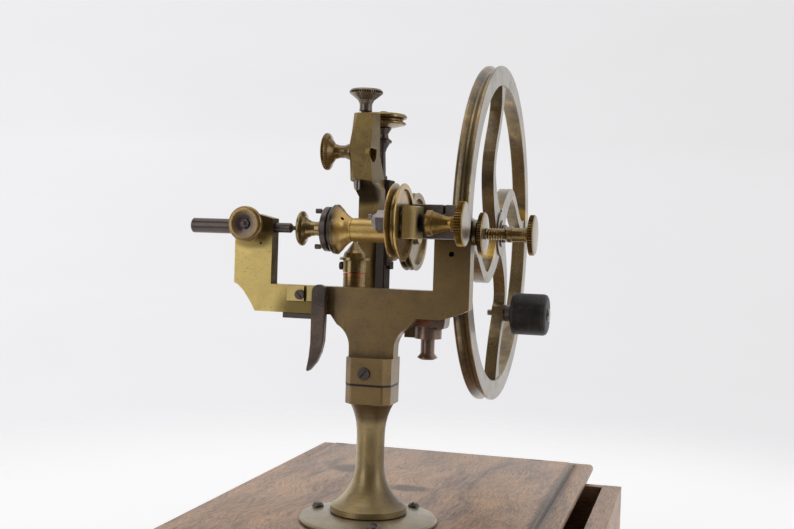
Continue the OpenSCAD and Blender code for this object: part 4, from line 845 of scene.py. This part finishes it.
# %% The moulded top board
def new_piece(name, shape, material, body, replaced, smooth=40):
    """Turns a bmesh in millimetres into a piece that rides on a body and stands for nodes."""
    bmesh.ops.scale(shape, vec=(MM, MM, MM), verts=shape.verts)
    bmesh.ops.recalc_face_normals(shape, faces=shape.faces)
    mesh = bpy.data.meshes.new(name)
    shape.to_mesh(mesh)
    shape.free()
    mesh.materials.append(material)
    mesh.shade_smooth()
    mesh.set_sharp_from_angle(angle=math.radians(smooth))
    piece = new_object(name, mesh)
    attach(piece, body)
    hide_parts(*replaced)
    return piece


low, high = box_mm("box_top")
BOTTOM, FIELD = low.z, high.z
LIP = BOTTOM + 4.5
# Distance in from the edge, and height
LIP_PROFILE = [
    (2.0, BOTTOM), (0.5, BOTTOM), (0.0, BOTTOM + 0.6), (0.0, BOTTOM + 2.2),
    (0.3, BOTTOM + 3.2), (0.9, BOTTOM + 3.9), (1.8, LIP - 0.15), (2.8, LIP),
    (9.4, LIP), (9.9, LIP - 0.5), (10.4, LIP - 0.5), (10.8, LIP),
    (11.0, LIP + 0.7), (11.5, LIP + 1.4), (12.3, LIP + 1.9), (13.0, FIELD - 0.25), (13.8, FIELD),
]
board = bmesh.new()
loops = []
for inset, height in LIP_PROFILE:
    corners = [(low.x + inset, low.y + inset), (high.x - inset, low.y + inset),
               (high.x - inset, high.y - inset), (low.x + inset, high.y - inset)]
    loops.append([board.verts.new((x, y, height)) for x, y in corners])
for outer, inner in zip(loops, loops[1:]):
    for i in range(4):
        board.faces.new((outer[i], outer[(i + 1) % 4], inner[(i + 1) % 4], inner[i]))
board.faces.new(loops[0])
board.faces.new(loops[-1])
top_board = new_piece("moulded_top_board", board, walnut_top, "stand", ["box_top"], smooth=50)
print("top board", round(high.x - low.x), "by", round(high.y - low.y), "mm")

# %% [markdown]
# A turned knob is drawn as half of its outline, as a turner's template is, and spun about
# its axis. Blender's screw modifier could spin it, but the rings made here can also be cut by
# a ripple, which the next cell needs. The outline's corners are rounded, because a sharp
# turned corner would cut a finger.

# %% Spin an outline
POLE = 0.01
SOFT_STEPS = 3
LONGEST_CUT = 0.45


def soften(outline, cut):
    """Rounds the corners of an outline of (distance, radius) by cutting them back."""
    rounded = [Vector(outline[0])]
    for before, corner, after in zip(outline, outline[1:], outline[2:]):
        before, corner, after = Vector(before), Vector(corner), Vector(after)
        back, on = before - corner, after - corner
        start = corner + back.normalized() * min(cut, back.length * LONGEST_CUT)
        stop = corner + on.normalized() * min(cut, on.length * LONGEST_CUT)
        for i in range(SOFT_STEPS + 1):
            t = i / SOFT_STEPS
            rounded.append(start * (1 - t) ** 2 + corner * 2 * t * (1 - t) + stop * t ** 2)
    rounded.append(Vector(outline[-1]))
    return rounded


def spin(outline, axis, centre, sides, ripples):
    """Spins an outline of (distance, radius) about a line through the centre, along X, Y or Z."""
    shape = bmesh.new()
    rings = []
    for distance, radius in outline:
        ring = []
        for i in range(sides):
            angle = 2 * math.pi * i / sides
            r = max(radius, POLE) - sum(ripple(distance, radius, angle) for ripple in ripples)
            u, v = r * math.cos(angle), r * math.sin(angle)
            spots = {
                "X": (distance, centre.y + u, centre.z + v),
                "Y": (centre.x + u, distance, centre.z + v),
                "Z": (centre.x + u, centre.y + v, distance),
            }
            ring.append(shape.verts.new(spots[axis]))
        rings.append(ring)
    for a, b in zip(rings, rings[1:]):
        for i in range(sides):
            j = (i + 1) % sides
            shape.faces.new((a[i], a[j], b[j], b[i]))
    shape.faces.new(rings[0])
    shape.faces.new(rings[-1])
    return shape


print("a pole is a ring of", POLE, "mm")

# %% [markdown]
# Fingers grip the screws by straight knurling, cut with a wheel that presses teeth into the
# rim, and the centre screw has a fine thread. Both are small changes of radius on a turned
# shape: the knurl goes by the angle alone, and the thread by the angle and the length. Real
# ones are somewhat finer. These are as coarse as they need to be to show.

# %% Knurls and threads
KNURL_PITCH, KNURL_DEPTH = 1.2, 0.7
THREAD_PITCH, THREAD_DEPTH = 1.15, 0.6
RIM_SLACK = 0.2
SIDES_PER_TOOTH = 4


def teeth_on(radius):
    """How many knurl teeth fit round a rim."""
    return round(2 * math.pi * radius / KNURL_PITCH)


def knurl(low_end, high_end, rim):
    """A ripple of straight V teeth on the rim between two distances."""
    teeth = teeth_on(rim)

    def ripple(distance, radius, angle):
        if not low_end <= distance <= high_end or radius < rim - RIM_SLACK:
            return 0.0
        phase = angle * teeth / (2 * math.pi) % 1
        return KNURL_DEPTH * abs(2 * phase - 1)
    return ripple


def thread(low_end, high_end):
    """A ripple that winds along the piece once each pitch."""
    def ripple(distance, radius, angle):
        if not low_end <= distance <= high_end:
            return 0.0
        phase = (distance / THREAD_PITCH + angle / (2 * math.pi)) % 1
        return THREAD_DEPTH * abs(2 * phase - 1)
    return ripple


def knurled_piece(node, body, outline, axis, rim, extra=()):
    """Replaces a turned node by its outline with one knurled rim, given by its two ends and its radius."""
    ripples = [knurl(*rim), *extra]
    sides = SIDES_PER_TOOTH * teeth_on(rim[2])
    shape = spin(outline, axis, middle_mm(node), sides, ripples)
    piece = new_piece(node + "_turned", shape, finish_of[node], body, [node])


print("a rim of 9.3 mm takes", teeth_on(9.3), "teeth")

# %% [markdown]
# The idler's knob has a short shoulder, a collar, a trumpet neck and a flat knurled disc.
# Each could be a cone or a cylinder, but one outline leaves no seams between them.

# %% The idler's knob
low, high = box_mm("idler_knob")
rim, end = high.z - middle_mm("idler_knob").z, high.x
disc, face = end - 3.4, end - 19.6
idler_outline = soften([
    (low.x, POLE), (low.x, 2.5), (face, 2.5),
    (face, 3.8), (face + 3, 3.8),
    (face + 3, 5.35), (face + 5.6, 5.35), (face + 5.7, 4.7),
    (face + 7.3, 4.4), (face + 9.7, 3.4), (face + 12.2, 2.9), (face + 13.5, 3.1),
    (disc - 0.9, 4.6), (disc - 0.4, rim - 1.6), (disc, rim),
    (end - 0.4, rim), (end, rim - 0.5), (end - 0.2, rim * 0.5), (end - 0.2, POLE),
], 0.3)
knurled_piece("idler_knob", "idler_screw", idler_outline, "X", (disc, end - 0.4, rim))
print("idler knob", round(2 * rim, 1), "mm across")

# %% [markdown]
# The lock nut is a thin disc with a hub. Its bore could be cut with a boolean, but the screw
# fills it, so the outline simply ends there instead of at the axis.

# %% The lock nut
BORE = 2.75
low, high = box_mm("lock_nut")
rim, start, end = high.z - middle_mm("lock_nut").z, low.x, high.x
lock_outline = soften([
    (start, BORE), (start, 5.4), (start + 1.6, 5.4), (start + 2.2, 4.4),
    (start + 2.6, rim - 2), (start + 3, rim), (start + 4.8, rim), (start + 5.3, rim - 0.5),
    (end, 4.5), (end, BORE),
], 0.2)
knurled_piece("lock_nut", "locking_nut", lock_outline, "X", (start + 3, start + 4.8, rim))
print("lock nut", round(2 * rim, 1), "mm across")

# %% [markdown]
# The centre screw is a pointed rod with a fine thread, a plain waist and a knurled head. The
# thread needs many rings along the rod, so the rod's outline is a row of close steps.

# %% The centre screw
ROD_STEPS = 180
low, high = box_mm("centre_screw")
rim, start, end = high.z - middle_mm("centre_screw").z, low.x, high.x
rod, rod_end, rod_r = start + 3, end - 12.6, 2.7
knurled_at = end - 2.7
point = [(start, POLE), (start + 0.5, 0.5), (start + 2.6, rod_r - 0.3)]
threaded = [(rod + (rod_end - rod) * i / ROD_STEPS, rod_r) for i in range(ROD_STEPS + 1)]
head = soften([
    (rod_end + 0.01, rod_r), (rod_end + 0.01, rod_r + 0.8), (rod_end + 1.9, rod_r + 0.8),
    (rod_end + 2.1, rod_r + 0.4), (rod_end + 6.9, rod_r + 0.3), (rod_end + 8.7, rod_r + 1.2),
    (knurled_at - 0.4, rim - 2), (knurled_at, rim), (knurled_at + 2, rim), (knurled_at + 2.4, rim - 0.6),
    (end - 0.1, rim * 0.4), (end, POLE),
], 0.25)
knurled_piece("centre_screw", "centre", point + threaded + head, "X", (knurled_at, knurled_at + 2, rim),
              [thread(rod, rod_end)])
print("thread of", THREAD_PITCH, "mm pitch on the centre screw")

# %% [markdown]
# The clamp knob of the left runner is a shallow dish with a knurled rim, and a steel stud
# end stands in its middle. The stud is a solid of its own, so only the dish is spun.

# %% The clamp knob
low, high = box_mm("runner_knob")
rim, near, back = high.z - middle_mm("runner_knob").z, low.y, high.y
face = near + 9.8
clamp_outline = soften([
    (back, POLE), (back, 1.55), (face, 1.55),
    (face, rim * 0.42), (face - 2, rim * 0.4), (face - 4, rim * 0.46), (face - 5.6, rim * 0.62),
    (face - 7, rim * 0.9), (face - 7.8, rim), (face - 9, rim), (face - 9.7, rim * 0.93),
    (near, rim * 0.78), (near + 0.3, rim * 0.5), (near + 0.8, rim * 0.25), (near + 0.9, POLE),
], 0.3)
knurled_piece("runner_knob", "clamp_knob", clamp_outline, "Y", (face - 9, face - 7.8, rim))
print("clamp knob", round(2 * rim, 1), "mm across")

# %% [markdown]
# The two knobs on the rear head are turned alike, with a short neck under a wide thin head.
# The one on the side ends in a small turned button, so each has an outline of its own.

# %% The rear knobs
low, high = box_mm("top_knob")
rim, top = high.x - middle_mm("top_knob").x, high.z
foot = top - 10.9
top_outline = soften([
    (low.z, POLE), (low.z, 2.2), (foot, 2.2),
    (foot, 3.2), (foot + 2, 3.0), (foot + 3.6, 3.1), (foot + 5.4, 4),
    (foot + 7.2, rim - 1.8), (foot + 8.6, rim), (foot + 9.6, rim), (foot + 10.6, rim - 0.8), (top, POLE),
], 0.3)
knurled_piece("top_knob", "head_screw", top_outline, "Z", (foot + 8.6, foot + 9.6, rim))

low, high = box_mm("side_knob")
rim, tip = high.z - middle_mm("side_knob").z, low.x
seat_x = tip + 15.5
side_outline = soften([
    (high.x, POLE), (high.x, 2.2), (seat_x, 2.2),
    (seat_x, 4.3), (seat_x - 1.4, 3.9), (seat_x - 3.4, 3.1), (seat_x - 6, 3.1), (seat_x - 8.4, 3.8),
    (seat_x - 10.6, rim - 2.4), (seat_x - 11.8, rim), (seat_x - 13, rim), (seat_x - 13.5, rim - 0.5),
    (seat_x - 13.2, rim * 0.5), (seat_x - 13.4, 1.9), (seat_x - 14.6, 1.8), (tip + 0.1, 1), (tip, POLE),
], 0.3)
knurled_piece("side_knob", "side_screw", side_outline, "X", (seat_x - 13, seat_x - 11.8, rim))

# %% [markdown]
# The crank's grip is a short barrel of horn or ebonised wood, rubbed matt and chipped at its
# rims. It is dark, so its form shows only by its sheen, and the sheen changes from place to
# place with the wear. Its solid has the right shape already and needs only a material.

# %% The black grip
GRIP_MARKS = 0.6
WORN_PLACE = 5

horn, tree = new_material("horn, turned and blackened")
place = add(tree, "ShaderNodeTexCoord").outputs["Object"]
height = tool_marks(tree, place, turned_on="X", centre=middle_mm("handle_grip"), pitch=GRIP_MARKS)
wear = add(tree, "ShaderNodeTexNoise", {"Scale": per_mm(WORN_PLACE), "Detail": 6.0, "Roughness": 0.65},
           {"Vector": place}).outputs["Fac"]
rub = add(tree, "ShaderNodeValToRGB", {"stops": [(0.35, "#131213"), (0.55, "#232122"), (0.75, "#454140")]},
          {"Fac": wear})
dull = add(tree, "ShaderNodeMapRange", {"To Min": 0.34, "To Max": 0.68}, {"Value": wear})
relief = add(tree, "ShaderNodeMath", {"operation": "ADD"}, {0: height, 1: wear})
bump = add(tree, "ShaderNodeBump", {"Strength": 0.5, "Distance": 0.15 * MM}, {"Height": relief.outputs[0]})
skin = add(tree, "ShaderNodeBsdfPrincipled", {},
           {"Base Color": rub.outputs["Color"], "Roughness": dull.outputs[0], "Normal": bump.outputs[0]})
add(tree, "ShaderNodeOutputMaterial", {}, {"Surface": skin.outputs[0]})
nodes["handle_grip"].data.materials.clear()
nodes["handle_grip"].data.materials.append(horn)
print("grip", horn.name)
